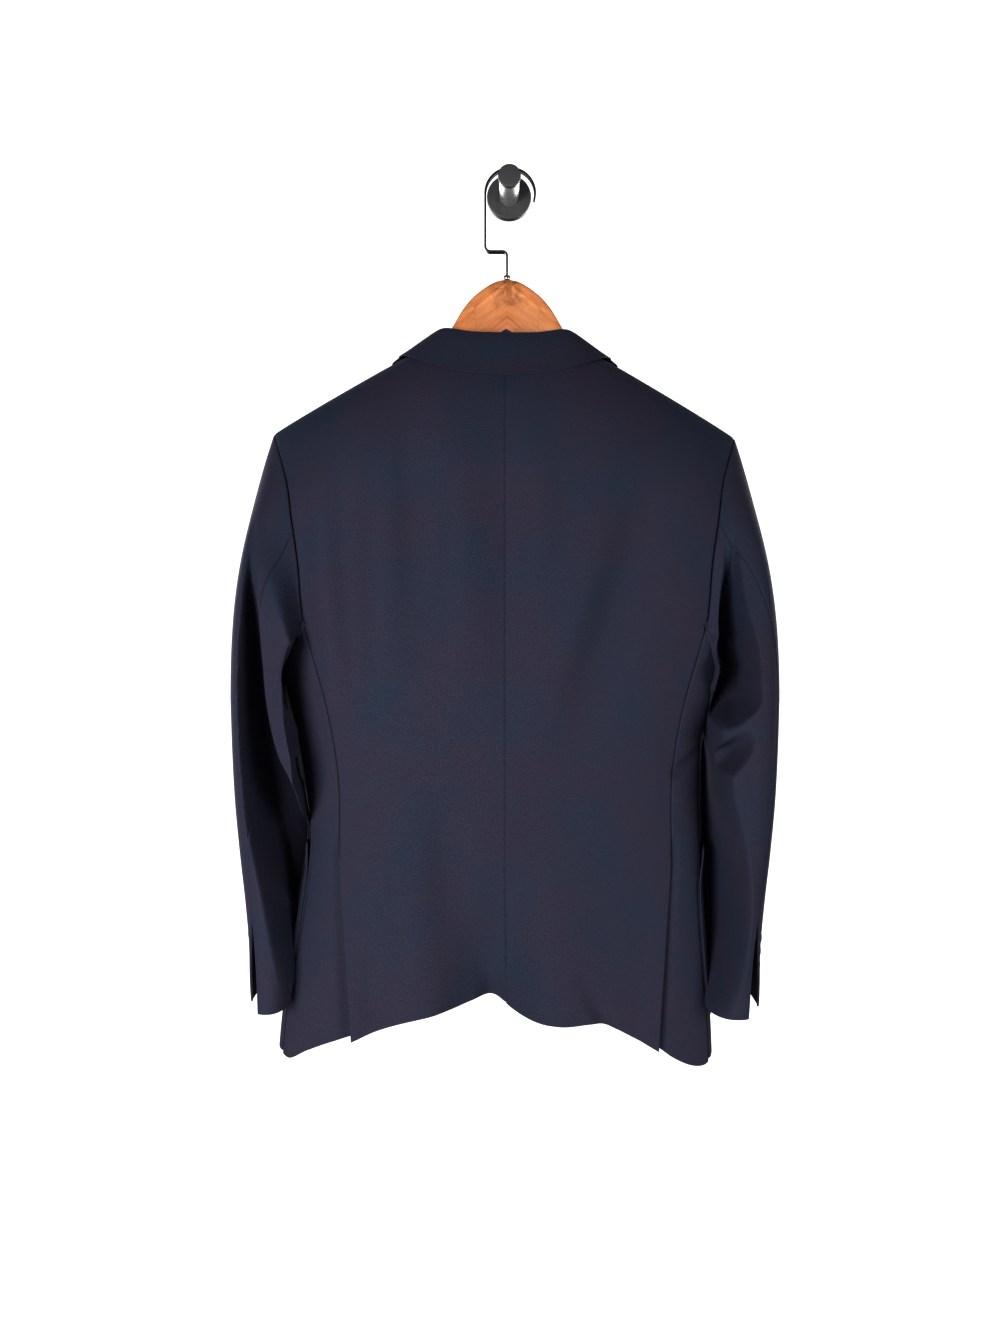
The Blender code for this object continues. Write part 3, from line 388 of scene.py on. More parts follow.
# Outer edge of the front panels: height, turn. Side seam below, armhole above
FRONT_EDGE = (
    (-0.900, 76.5), (-0.685, 77.5), (-0.600, 90.0), (-0.530, 106.0), (-0.485, 118.0),
    (-0.460, 126.0), (-0.420, 132.5), (-0.370, 132.0), (-0.320, 125.0), (-0.285, 112.0),
    (-0.2625, 90.0),
)
# Top of the side panels, under the arm: turn, height
UNDERARM = (
    (52.0, -0.455), (65.0, -0.485), (80.0, -0.502), (95.0, -0.506), (108.0, -0.499), (118.0, -0.485),
)
# Inner edge of the front panels: height, distance from the centre line to the wearer's own side
OPENING = (
    (-0.872, 0.112), (-0.866, 0.090), (-0.858, 0.070), (-0.846, 0.050), (-0.830, 0.034), (-0.805, 0.018),
    (-0.770, 0.004), (-0.730, -0.008), (-0.690, -0.016), (-0.585, -0.018), (-0.560, -0.013),
    (-0.450, 0.011), (-0.350, 0.033), (-0.250, 0.054), (-0.205, 0.066), (-0.175, 0.078),
)
# Hem of the back: distance from the centre line (left negative), height
BACK_HEM = (
    (-0.150, -0.8620), (-0.125, -0.8512), (-0.100, -0.8425), (-0.050, -0.8320), (-0.014, -0.8275),
    (0.020, -0.8400), (0.050, -0.8440), (0.100, -0.8455), (0.125, -0.8580), (0.150, -0.8720),
)
# Hem of the sides and fronts: turn, height at the left, height at the right
SIDE_HEM = (
    (24.0, -0.841, -0.841), (30.0, -0.848, -0.850), (36.0, -0.857, -0.860), (41.0, -0.861, -0.8695),
    (55.0, -0.8735, -0.887), (67.0, -0.8835, -0.891),
    (76.0, -0.880, -0.8885), (90.0, -0.876, -0.882), (110.0, -0.876, -0.878), (140.0, -0.8755, -0.876),
    (180.0, -0.872, -0.872),
)

# %% [markdown]
# ### Folds of the body
# A jacket on a hanger is held only at the shoulders, so its back drops in shallow flutes between the blades
# and one deep flute where the vented skirt swings. Each fold is a line with a width and a depth, added to the
# depth of the body. A cloth simulation could find such folds, but not these very ones.

# %% Folds of the body
# From (x, z) to (x, z), half width, depth at each end (+ goes in), +1 back or -1 front
BODY_FOLDS = (
    (-0.006, -0.680, -0.017, -0.840, 0.060, 0.000, 0.034, 1),
    (-0.013, -0.790, -0.013, -0.850, 0.020, 0.000, 0.020, 1),
    (0.060, -0.700, 0.058, -0.840, 0.044, -0.0010, -0.005, 1),
    (0.075, -0.800, 0.096, -0.840, 0.014, 0.0015, 0.005, 1),
    (0.202, -0.574, 0.166, -0.601, 0.010, 0.016, 0.006, 1),
    (0.110, -0.350, 0.060, -0.600, 0.040, 0.004, 0.002, -1),
    (-0.110, -0.350, -0.070, -0.600, 0.040, 0.004, 0.002, -1),
)
# Flutes of the back, which swell and fade along their line: from (x, z) to (x, z), half width, depth
BACK_FLUTES = (
    (-0.184, -0.250, -0.158, -0.620, 0.024, -0.0045), (-0.155, -0.220, -0.143, -0.600, 0.026, 0.0055),
    (-0.120, -0.210, -0.112, -0.560, 0.026, -0.0040), (-0.086, -0.210, -0.074, -0.570, 0.028, 0.0045),
    (-0.044, -0.220, -0.038, -0.560, 0.027, -0.0048), (0.001, -0.220, 0.004, -0.600, 0.026, 0.0050),
    (0.034, -0.230, 0.034, -0.480, 0.024, -0.0026), (0.118, -0.260, 0.020, -0.590, 0.034, -0.0052),
    (0.165, -0.280, 0.050, -0.620, 0.038, 0.0092), (-0.094, -0.600, -0.088, -0.900, 0.038, -0.0066),
    (-0.055, -0.590, -0.050, -0.800, 0.030, 0.0040),
)

# %% Edges of the sleeves
# Height, outer edge from the centre line, inner edge left, inner edge right, depth of the back and front.
# Where the body is in the way, the inner side lies along it instead
SLEEVE = (
    (-0.530, 0.2670, 0.2060, 0.1960, -0.135, -0.007),
    (-0.580, 0.2665, 0.1980, 0.1900, -0.132, -0.006),
    (-0.630, 0.2650, 0.1930, 0.1870, -0.127, -0.006),
    (-0.680, 0.2612, 0.1920, 0.1870, -0.122, -0.006),
    (-0.730, 0.2560, 0.1960, 0.1880, -0.118, -0.006),
    (-0.780, 0.2515, 0.2020, 0.1900, -0.116, -0.007),
    (-0.850, 0.2495, 0.2090, 0.1950, -0.114, -0.008),
)
# How the sleeve cloth leaves the armhole: share of the way round it, out, back, down
SLEEVE_LEAVES = (
    (0.00, 0.31, 0.00, 0.95), (0.20, 0.72, 0.28, 0.62), (0.30, 0.66, 0.20, 0.70),
    (0.38, 0.40, 0.00, 0.92), (0.48, 0.20, 0.00, 0.98), (0.60, 0.45, -0.10, 0.88),
    (0.80, 0.75, -0.20, 0.62), (1.00, 0.31, 0.00, 0.95),
)
# Sleeve seams: share of the way down, elbow seam left and right and front seam as shares of the way round
SLEEVE_SEAMS = (
    (0.00, 0.225, 0.200, 0.600), (0.04, 0.245, 0.213, 0.590), (0.10, 0.249, 0.207, 0.585),
    (0.15, 0.254, 0.197, 0.580), (0.21, 0.256, 0.173, 0.575), (0.29, 0.255, 0.140, 0.560),
    (0.45, 0.230, 0.126, 0.550), (0.62, 0.191, 0.130, 0.545), (0.70, 0.174, 0.138, 0.540),
    (0.80, 0.163, 0.150, 0.540), (1.00, 0.166, 0.166, 0.535),
)
VENT_SHARE = 0.80  # of the way down the sleeve, where the cuff vent opens

# %% [markdown]
# ### Folds of the sleeves
# An empty sleeve collapses: the cloth behind the elbow sinks in, and a ridge stays where the elbow seam or
# the body holds it up. The left sleeve has one long ridge beside the body with a hollow behind it. The right
# one has a deep hollow below the arm seam, a curled rim beside it, and a smaller hollow under the elbow.
# They are cut in as steps, because their edges are much sharper than the flutes of the back. Sculpting would
# do as well, but a table can be read and changed.

# %% Folds of the sleeves
# Left: height, ridge's outer and inner edge (x), drop outside and inside the ridge, and the places (x)
# where the drop outside starts and where it is full
LEFT_RIDGE = (
    (-0.310, -0.2420, -0.1980, 0.000, 0.000, -0.255, -0.245),
    (-0.340, -0.2410, -0.1990, 0.000, 0.000, -0.255, -0.245),
    (-0.418, -0.2380, -0.2000, 0.016, 0.010, -0.255, -0.245),
    (-0.445, -0.2360, -0.2032, 0.028, 0.028, -0.255, -0.245),
    (-0.493, -0.2324, -0.2080, 0.050, 0.052, -0.256, -0.246),
    (-0.549, -0.2263, -0.2117, 0.066, 0.064, -0.256, -0.244),
    (-0.584, -0.2173, -0.2055, 0.074, 0.064, -0.255, -0.242),
    (-0.612, -0.2042, -0.1975, 0.078, 0.052, -0.254, -0.238),
    (-0.651, -0.1967, -0.1905, 0.078, 0.044, -0.251, -0.232),
    (-0.680, -0.1860, -0.1800, 0.076, 0.000, -0.245, -0.224),
    (-0.720, -0.1800, -0.1700, 0.070, 0.000, -0.237, -0.214),
    (-0.760, -0.1800, -0.1700, 0.054, 0.000, -0.230, -0.206),
    (-0.800, -0.1800, -0.1700, 0.024, 0.000, -0.222, -0.198),
    (-0.830, -0.1800, -0.1700, 0.000, 0.000, -0.215, -0.190),
)
# Right: height, middle of the hollow (x), half width, depth
RIGHT_HOLLOW = (
    (-0.365, 0.2100, 0.0050, 0.000), (-0.395, 0.2111, 0.0060, 0.014), (-0.437, 0.2111, 0.0088, 0.040),
    (-0.474, 0.2148, 0.0125, 0.060), (-0.512, 0.2157, 0.0145, 0.066), (-0.535, 0.2120, 0.0165, 0.056),
    (-0.552, 0.2020, 0.0120, 0.022), (-0.560, 0.1980, 0.0100, 0.000),
)
# Right, beside the body: height, places (x) where the sinking is full and where it ends, depth
RIGHT_GAP = (
    (-0.505, 0.1900, 0.1960, 0.000), (-0.530, 0.1935, 0.2010, 0.050), (-0.552, 0.1925, 0.1985, 0.066),
    (-0.588, 0.1940, 0.2060, 0.070), (-0.624, 0.1940, 0.2120, 0.070), (-0.660, 0.1970, 0.2220, 0.072),
    (-0.696, 0.2020, 0.2290, 0.072), (-0.732, 0.2040, 0.2320, 0.070), (-0.768, 0.2020, 0.2290, 0.060),
    (-0.804, 0.1960, 0.2220, 0.034), (-0.834, 0.1880, 0.2130, 0.000),
)
# The curled rim beside it: height, x
RIGHT_RIM = (
    (-0.455, 0.1920), (-0.462, 0.1961), (-0.476, 0.2055),
    (-0.487, 0.2064), (-0.500, 0.1998), (-0.509, 0.1914),
)
# Small folds at the right elbow: x, z, half length and half width, depth (+ goes in)
ELBOW_CREST = (0.2055, -0.5565, 0.017, 0.013, -0.009)
ELBOW_DENT = (0.2040, -0.5860, 0.030, 0.013, 0.034)
DENT_AHEAD = (0.656, 0.755)  # the way the dent's length runs, in x and z

# %% Edges of the collar and lapels
# The collar, from the centre back (0) to its front end (1): share, stand x and z, fold x, y and z,
# edge x and z. The shoulder line is at share 0.6
COLLAR = (
    (0.00, 0.000, -0.1925, 0.000, -0.0745, -0.1675, 0.000, -0.2170),
    (0.20, 0.036, -0.1900, 0.031, -0.0720, -0.1660, 0.040, -0.2135),
    (0.42, 0.0660, -0.1830, 0.0590, -0.0640, -0.1600, 0.076, -0.2030),
    (0.60, 0.0745, -0.1760, 0.0640, -0.0475, -0.1585, 0.1085, -0.1890),
    (0.78, 0.0715, -0.1905, 0.0625, -0.0330, -0.1720, 0.1150, -0.2080),
    (1.00, 0.0640, -0.2150, 0.0580, -0.0215, -0.2110, 0.1000, -0.2260),
)
# Outer edge of the lapels: share of the way up from the top button, distance from the centre line
LAPEL_EDGE = ((0.00, -0.014), (0.12, 0.016), (0.30, 0.046), (0.55, 0.078), (0.80, 0.106), (1.00, 0.126))
# Upper edge of the hanger: distance from its centre line, height below its top
HANGER_CREST = (
    (0.000, 0.0000), (0.011, 0.0022), (0.024, 0.0100), (0.037, 0.0220), (0.0465, 0.0350),
    (0.0545, 0.0495), (0.063, 0.0640), (0.070, 0.0765), (0.078, 0.0825),
)


# %% [markdown]
# ## Working a surface out
# Every edge runs on a smooth curve through its table. A fold is a soft cosine groove along a line. These
# few functions are all that the panels need.

# %% Curves
def smooth(table, column, place):
    """The value of a table's column at each place, on a smooth curve through the table's rows."""
    rows = np.array(sorted(table))
    at, value = rows[:, 0], rows[:, column]
    slope = np.gradient(value, at)
    low = np.clip(np.searchsorted(at, place) - 1, 0, len(at) - 2)
    step = at[low + 1] - at[low]
    t = np.clip((place - at[low]) / step, 0, 1)
    return (
        (1 + 2 * t) * (1 - t) ** 2 * value[low]
        + t * (1 - t) ** 2 * step * slope[low]
        + t * t * (3 - 2 * t) * value[low + 1]
        - t * t * (1 - t) * step * slope[low + 1]
    )


def ease(low, high, value):
    """0 at low and 1 at high, with a soft change between them. Low may be the greater of the two."""
    t = np.clip((value - low) / (high - low), 0, 1)
    return t * t * (3 - 2 * t)


def fold_depth(x, z, x0, z0, x1, z1, half_width, depth0, depth1):
    """Depth of one soft fold, which runs from one point to another and fades beyond both."""
    run = (x1 - x0) ** 2 + (z1 - z0) ** 2
    along = ((x - x0) * (x1 - x0) + (z - z0) * (z1 - z0)) / run
    held = np.clip(along, 0, 1)
    away = np.hypot(x - x0 - held * (x1 - x0), z - z0 - held * (z1 - z0))
    across = np.clip(away / half_width, 0, 1)
    return (depth0 + (depth1 - depth0) * held) * np.cos(0.5 * math.pi * across) ** 2


def flute_depth(x, z, x0, z0, x1, z1, half_width, depth):
    """Depth of one flute, which is deepest in the middle of its line and fades to both ends."""
    long = math.hypot(x1 - x0, z1 - z0)
    ahead, beside = (x1 - x0) / long, (z1 - z0) / long
    along = np.clip(((x - x0) * ahead + (z - z0) * beside) / long, 0, 1)
    away = np.clip(np.abs((x - x0) * beside - (z - z0) * ahead) / half_width, 0, 1)
    return depth * np.sin(math.pi * along) ** 1.5 * np.cos(0.5 * math.pi * away) ** 2


def hermite(start, end, leave, arrive, t):
    return (
        (1 + 2 * t) * (1 - t) ** 2 * start
        + t * (1 - t) ** 2 * leave
        + t * t * (3 - 2 * t) * end
        - t * t * (1 - t) * arrive
    )


# %% [markdown]
# ### The body's surface
# The body is a flattened oval, wider than it is deep, that rolls over at the shoulder line where the back
# meets the front. A place on it is a turn round the body and a height.

# %% The body
def half_width(side, height):
    return smooth(BODY, 1 if side < 0 else 2, height)


def ridge_height(x):
    """Height of the shoulder line at a distance from the centre line."""
    past = np.abs(x) - 0.07
    return RIDGE_Z - SHOULDER_SLOPE * 0.5 * (past + np.hypot(past, 0.02)) - SHOULDER_LEAN * x


def turn_at(side, distance, height):
    """The turn, on the front half, at a distance from the centre line to the wearer's own side."""
    share = np.clip(np.abs(distance) / half_width(side, height), 0, 1)
    return 180 - np.sign(distance) * np.degrees(np.arcsin(share ** (ROUNDNESS / 2)))


def body_point(side, turn, height):
    """A point of the body's outer surface. It rolls over at the shoulder line, where back and front meet."""
    angle = np.radians(turn)
    x = np.sign(np.sin(angle)) * np.abs(np.sin(angle)) ** (2 / ROUNDNESS)
    return body_at(side, x * half_width(side, height), height, np.cos(angle))


def body_at(side, distance, height, facing):
    """The same, from a distance to the wearer's own side; facing is above 0 on the back."""
    share = np.clip(np.abs(distance) / half_width(side, height), 0, 1)
    bulge = (1 - share**ROUNDNESS) ** (1 / ROUNDNESS)
    x = side * distance
    back = smooth(BODY, 3, height)
    front = smooth(BODY, 4, height)
    middle = SIDE_Y + (RIDGE_Y - SIDE_Y) * ease(-0.40, -0.27, height)
    y = np.where(facing > 0, middle + (back - middle) * bulge, middle + (front - middle) * bulge)
    for x0, z0, x1, z1, wide, depth0, depth1, face in BODY_FOLDS:
        depth = fold_depth(x, height, x0, z0, x1, z1, wide, depth0, depth1)
        y = y + np.where(facing * face > 0, face * depth * bulge, 0)
    for line in BACK_FLUTES:
        y = y + np.where(facing > 0, flute_depth(x, height, *line) * bulge, 0)
    below = np.clip((ridge_height(x) - height) / (0.15 - 0.17 * np.abs(x)), 0, 1)
    roll = np.sqrt(1 - (1 - below) ** 2)
    crest = RIDGE_Y - np.sign(facing) * GAP / 2
    return np.stack([JACKET_X + x, crest + (y - crest) * roll, height + 0 * x], axis=-1)


def hem_height(side, turn):
    return smooth(SIDE_HEM, 1 if side < 0 else 2, turn)


# %% The back panels
def back_surface(side):
    """Across from the centre seam, up from the hem to the neck and shoulder line."""

    def point(across, up):
        hem = smooth(BACK_HEM, 1, side * 0.1485)
        edge_height = hem + (ridge_height(side * SHOULDER_HALF) - hem) * up
        edge = smooth(BACK_EDGE, 1, edge_height)
        distance = GAP / 2 + across * (edge - GAP)
        tip = ridge_height(side * SHOULDER_HALF)
        at_top = np.maximum(GAP / 2 + across * (smooth(BACK_EDGE, 1, tip) - GAP), 0)
        neck = NECK_BACK_Z + (ridge_height(side * at_top) - NECK_BACK_Z) * (at_top / NECK_HALF) ** 2.5
        top = np.where(at_top < NECK_HALF, neck, ridge_height(side * at_top))
        bottom = smooth(BACK_HEM, 1, side * across * 0.1485)
        height = bottom + (top - bottom) * up
        return body_at(side, distance, height, 1.0)

    return point


def seam_turn(side, height):
    """Turn of the seam between the back and the side panel."""
    share = smooth(BACK_EDGE, 1, height) / half_width(side, height)
    return np.degrees(np.arcsin(np.clip(share, 0, 1) ** (ROUNDNESS / 2)))


# %% The side panels
def side_surface(side):
    """Across from the back seam to the front seam, up from the hem to the armhole."""

    def point(across, up):
        turn = 52.0 + 50.0 * across
        for _ in range(6):
            bottom = hem_height(side, turn)
            height = bottom + (smooth(UNDERARM, 1, turn) - GAP - bottom) * up
            seam = seam_turn(side, height) + 0.30
            run_on = math.degrees(UNDERLAP / 0.15)
            first = seam - ease(VENT_TOP_Z - 0.002, VENT_TOP_Z - 0.030, height) * run_on
            turn = first + (smooth(FRONT_EDGE, 1, height) - 0.60 - first) * across
        spot = body_point(side, turn, height)
        # Just above the vent the panel's edge dips one cloth deeper. Below it, it runs on under the back
        dip = ease(VENT_TOP_Z + 0.030, VENT_TOP_Z + 0.004, height) * (1 - ease(1.0, 6.0, turn - seam))
        spot[..., 1] += (CLOTH + 0.0016) * dip
        return spot

    return point


# %% The front panels
def front_turn(side, height):
    """Turn of the front's edge along the armhole. At the shoulder tip it meets the back's edge."""
    tip = ridge_height(side * SHOULDER_HALF)
    miss = 180 - seam_turn(side, tip) - smooth(FRONT_EDGE, 1, tip)
    return smooth(FRONT_EDGE, 1, height) + miss * ease(tip - 0.07, tip, height)


def front_surface(side):
    """Across from the front edge to the side seam, up from the hem to the neck point and shoulder line."""

    def point(across, up):
        top_turn = turn_at(side, NECK_HALF, -0.175)
        tip_turn = front_turn(side, ridge_height(side * SHOULDER_HALF)) + 0.35
        top_turn = top_turn + (tip_turn - top_turn) * across
        at_top = half_width(side, -0.22) * np.sin(np.radians(top_turn)) ** (2 / ROUNDNESS)
        for _ in range(8):
            width = half_width(side, ridge_height(side * at_top))
            at_top = width * np.sin(np.radians(top_turn)) ** (2 / ROUNDNESS)
        # The lower rows lie level, and the upper ones follow the slope of the shoulder
        level = ease(0.30, 0.95, up)

        def rise(bottom, top):
            return bottom + (-0.235 + (top + 0.235) * level - bottom) * up

        # Along the armhole the front's edge runs on a little, under the sleeve
        tip = ridge_height(side * SHOULDER_HALF)
        edge = rise(hem_height(side, 80.0), tip)
        last = front_turn(side, edge) + 0.35 - 0.8 * ease(-0.485, -0.460, edge) * ease(tip, tip - 0.03, edge)
        height = rise(hem_height(side, 80.0 + 100.0 * (1 - across)), ridge_height(side * at_top))
        inner = smooth(OPENING, 1, rise(hem_height(side, 180.0), ridge_height(side * NECK_HALF)))
        first = np.where(up > 0.9999, turn_at(side, NECK_HALF, -0.175), turn_at(side, inner, height))
        turn = first + (last - first) * across
        spot = body_point(side, turn, height)
        # The wearer's right front lies under the left one where they button
        if side > 0:
            distance = side * (spot[..., 0] - JACKET_X)
            spot[..., 1] -= (CLOTH + 0.0009) * (1 - ease(0.022, 0.060, distance)) * (height < -0.40)
        return spot

    return point


# %% [markdown]
# ### The sleeves' surface
# A sleeve leaves the armhole along a curve that swings out and down, and below the elbow it is a plain oval
# tube that leans on the body. Its folds are pushed in afterwards, only where the cloth faces backwards.

# %% The armhole
def armhole_loop(side):
    """The armhole, from the shoulder tip down the back and up the front again, by share of its run."""
    t = np.linspace(0, 1, 240)
    tip = ridge_height(side * SHOULDER_HALF)
    back_z = tip + (-0.455 - tip) * t
    back = body_at(side, smooth(BACK_EDGE, 1, back_z), back_z, 1.0)
    turn = 52.0 + 66.0 * t[1:]
    under = body_point(side, turn, smooth(UNDERARM, 1, turn))
    front_z = -0.485 + (tip + 0.485) * t[1:]
    front = body_point(side, front_turn(side, front_z), front_z)
    route = np.concatenate([back, under, front])
    route[-1] = route[0]
    run = np.concatenate([[0], np.cumsum(np.linalg.norm(np.diff(route, axis=0), axis=1))])
    return route, run / run[-1]


# %% Hollows of the sleeves
def left_hollow(x, y, z):
    """How far the left sleeve's back sinks towards the wall."""
    outer, inner, drop_out, drop_in, starts, full = (smooth(LEFT_RIDGE, i, z) for i in range(1, 7))
    depth = drop_out * ease(-0.002, 0.010, outer - x) * ease(starts, full, x)
    depth = depth + drop_in * ease(0.000, 0.008, x - inner)
    # The ridge itself stays flat, where the tube would already turn round towards the body
    on_ridge = (1 - ease(-0.002, 0.010, outer - x)) * (1 - ease(0.000, 0.008, x - inner))
    flat = ease(-0.36, -0.46, z) * ease(-0.68, -0.62, z)
    return depth - on_ridge * flat * np.clip(y + 0.1320, 0, 0.03)


def right_hollow(x, y, z):
    """How far the right sleeve's back sinks towards the wall: two hollows, a rim and a gap by the body."""
    middle, wide, deep = (smooth(RIGHT_HOLLOW, i, z) for i in (1, 2, 3))
    depth = deep * ease(1.35, 0.45, np.abs(x - middle) / wide)
    rim = smooth(RIGHT_RIM, 1, z)
    on_rim = ease(-0.432, -0.472, z) * ease(-0.528, -0.498, z)
    depth = depth + 0.008 * ease(0.0, 0.012, rim - x) * on_rim
    depth = depth - 0.003 * ease(0.0100, 0.0, np.abs(x - rim)) * on_rim
    x0, z0, long, wide, crest = ELBOW_CREST
    depth = depth + crest * ease(1.0, 0.0, np.hypot((x - x0) / long, (z - z0) / wide))
    x0, z0, long, wide, dent = ELBOW_DENT
    along = ((x - x0) * DENT_AHEAD[0] + (z - z0) * DENT_AHEAD[1]) / long
    beside = ((x - x0) * DENT_AHEAD[1] - (z - z0) * DENT_AHEAD[0]) / wide
    depth = depth + dent * ease(1.2, 0.3, np.hypot(along, beside))
    full, none, gap = (smooth(RIGHT_GAP, i, z) for i in (1, 2, 3))
    return np.maximum(depth, gap * ease(none, full, x))


# %% The sleeves
def sleeve_surface(side):
    """Round the sleeve from its top over the back, and down from the armhole to the cuff."""
    route, run = armhole_loop(side)

    def ring(around, height):
        outer = smooth(SLEEVE, 1, height)
        inner = smooth(SLEEVE, 2 if side < 0 else 3, height)
        back = smooth(SLEEVE, 4, height)
        front = smooth(SLEEVE, 5, height)
        angle = 2 * math.pi * around
        across = np.sign(np.cos(angle)) * np.abs(np.cos(angle)) ** (2 / 2.4)
        deep = np.sign(np.sin(angle)) * np.abs(np.sin(angle)) ** (2 / 2.4)
        x = 0.5 * (outer + inner) + 0.5 * (outer - inner) * across
        y = 0.5 * (back + front) + 0.5 * (back - front) * deep
        body_back, body_front = smooth(BODY, 3, height), smooth(BODY, 4, height)
        share = np.clip((y - SIDE_Y) / np.where(y < SIDE_Y, body_back - SIDE_Y, body_front - SIDE_Y), 0, 1)
        clear = half_width(side, height) * (1 - share**ROUNDNESS) ** (1 / ROUNDNESS) + SLEEVE_CLEAR
        x = 0.5 * (x + clear + np.hypot(x - clear, 0.004))
        return np.stack([JACKET_X + side * x, y, height], axis=-1)

    def point(around, down):
        around = around % 1.0
        held = np.clip(down / 0.36, 0, 1)
        cuff = 0.5 * (CUFF_BACK_Z + CUFF_FRONT_Z) - side * SHOULDER_LEAN * 0.24
        cuff = cuff + 0.5 * (CUFF_BACK_Z - CUFF_FRONT_Z) * np.sin(2 * math.pi * around)
        low = np.clip((down - 0.36) / 0.64, 0, 1)
        height = ELBOW_RING_Z + (cuff - ELBOW_RING_Z) * low
        lower = ring(around, height)
        start = np.stack([np.interp(around, run, route[:, i]) for i in range(3)], axis=-1)
        start[..., 0] += side * 0.0002
        end = ring(around, ELBOW_RING_Z + 0 * around)
        reach = np.linalg.norm(end - start, axis=-1)[..., None] / 3
        leaves = np.stack([
            side * smooth(SLEEVE_LEAVES, 1, around),
            -smooth(SLEEVE_LEAVES, 2, around),
            -smooth(SLEEVE_LEAVES, 3, around),
        ], axis=-1)
        first = start + reach * leaves
        last = end + reach * np.array([0.0, 0.0, 1.0])
        t = held[..., None]
        upper = (
            (1 - t) ** 3 * start + 3 * t * (1 - t) ** 2 * first + 3 * t * t * (1 - t) * last + t**3 * end
        )
        spot = np.where(down[..., None] < 0.36, upper, lower)
        # The hollows sink only where the cloth faces backwards
        hollow = left_hollow if side < 0 else right_hollow
        depth = hollow(spot[..., 0], spot[..., 1], spot[..., 2])
        spot[..., 1] += depth * ease(-0.055, -0.095, spot[..., 1]) * ease(0.0, 0.10, down)
        return spot

    return point


def sleeve_panel(side, top):
    """The top sleeve lies outside and in front, the under sleeve behind and inside."""
    surface = sleeve_surface(side)

    def point(across, down):
        elbow = smooth(SLEEVE_SEAMS, 1 if side < 0 else 2, down)
        front = smooth(SLEEVE_SEAMS, 3, down)
        opened = np.clip((down - VENT_SHARE) / (1 - VENT_SHARE), 0, 1) ** 1.2
        elbow = elbow + opened * (-0.105 if top else 0.030)
        trim = GAP / 0.66
        if top:
            around = front + trim + (1 + elbow - front - 2 * trim) * across
        else:
            around = elbow + trim + (front - elbow - 2 * trim) * across
        return surface(around, down)

    return point


# %% [markdown]
# ### What lies on the body
# The lapels, the collar and the pockets are cloth on cloth, so each is a part of the surface beneath it,
# moved out by the thickness of what it lies on.

# %% Lapels, collar and pockets
def front_lift(side, lift):
    """The front's surface moved out by a lift, from a distance to the wearer's own side and a height."""

    def place(distance, height):
        return body_point(side, turn_at(side, distance, height), height) + np.array([0.0, lift, 0.0])

    return place


def lapel_surface(side):
    """Across from the roll line to the outer edge, up from the top button to the gorge."""
    place = front_lift(side, CLOTH + 0.0011)

    def point(across, up):
        # The right one starts higher, where it comes out from under the left front
        risen = up if side < 0 else 0.115 + 0.885 * up
        top = -0.2245 - 0.030 * across
        height = BUTTON_Z[0] + 0.004 + (top - BUTTON_Z[0] - 0.004) * risen
        inner = smooth(OPENING, 1, height)
        if side > 0:
            inner = np.abs(inner) + 0.0008
        inner = inner + 0.0002
        outer = np.maximum(smooth(LAPEL_EDGE, 1, risen), inner) + 0.002
        return place(inner + (outer - inner) * across, height)

    return point


def collar_surface(across, along):
    """Across from the stand's seam over the fold to the outer edge, along from the left end to the right."""
    side = np.where(along < 0, -1.0, 1.0)
    share = np.abs(along)
    column = [smooth(COLLAR, i, share) for i in range(8)]
    facing = np.where(share <= 0.6, 1.0, -1.0)

    def on_body(x, z):
        left = body_at(-1, x, z, facing)
        right = body_at(1, x, z, facing)
        return np.where(side[..., None] < 0, left, right)

    lean = -SHOULDER_LEAN * side
    stand = on_body(column[1], column[2] + lean * column[1])
    under = ridge_height(side * column[6]) - 1e-5
    edge = on_body(column[6], np.minimum(column[7] + lean * column[6], under))
    fold = np.stack([JACKET_X + side * column[3], column[4], column[5] + lean * column[3]], axis=-1)
    outward = edge - stand
    outward[..., 2] = 0
    outward /= np.linalg.norm(outward, axis=-1)[..., None]
    up = np.array([0.0, 0.0, 1.0])
    stand = stand + 0.0014 * up
    turn = math.pi * share / 1.2
    off = np.stack([0.35 * side * np.sin(turn), -np.cos(turn), 0 * share], axis=-1)
    edge = edge + (CLOTH + 0.0010) * off / np.linalg.norm(off, axis=-1)[..., None]
    edge = edge + 0.0040 * up * np.exp(-(((share - 0.58) / 0.14) ** 2))[..., None]
    t = np.clip(across / 0.34, 0, 1)[..., None]
    rise = hermite(stand, fold, (fold - stand) * 0.9, outward * 0.016, t)
    t = np.clip((across - 0.34) / 0.66, 0, 1)[..., None]
    fall = hermite(fold, edge, outward * 0.026, (edge - fold) * 1.0, t)
    return np.where(across[..., None] < 0.34, rise, fall)


def outward_normal(surface, across, up, side):
    a0, a1 = np.clip(across - 1e-4, 0, 1), np.clip(across + 1e-4, 0, 1)
    u0, u1 = np.clip(up - 1e-4, 0, 1), np.clip(up + 1e-4, 0, 1)
    normal = np.cross(surface(a1, up) - surface(a0, up), surface(across, u1) - surface(across, u0))
    normal /= np.linalg.norm(normal, axis=-1)[..., None]
    middle = surface(across, up) - np.array([JACKET_X, SIDE_Y, 0.0])
    sign = np.sign(np.sum(normal * middle * np.array([1.0, 1.0, 0.0])))
    return normal * sign


def pocket_surface(side):
    """A part of the front's own grid, moved out by the cloth and a gap."""
    surface = front_surface(side)

    def point(across, up):
        gape = 0.0030 * ease(0.26, 0.318, up) * ease(0.70, 0.99, across)
        off = CLOTH + 0.0002 + gape
        return surface(across, up) + outward_normal(surface, across, up, side) * off[..., None]

    return point


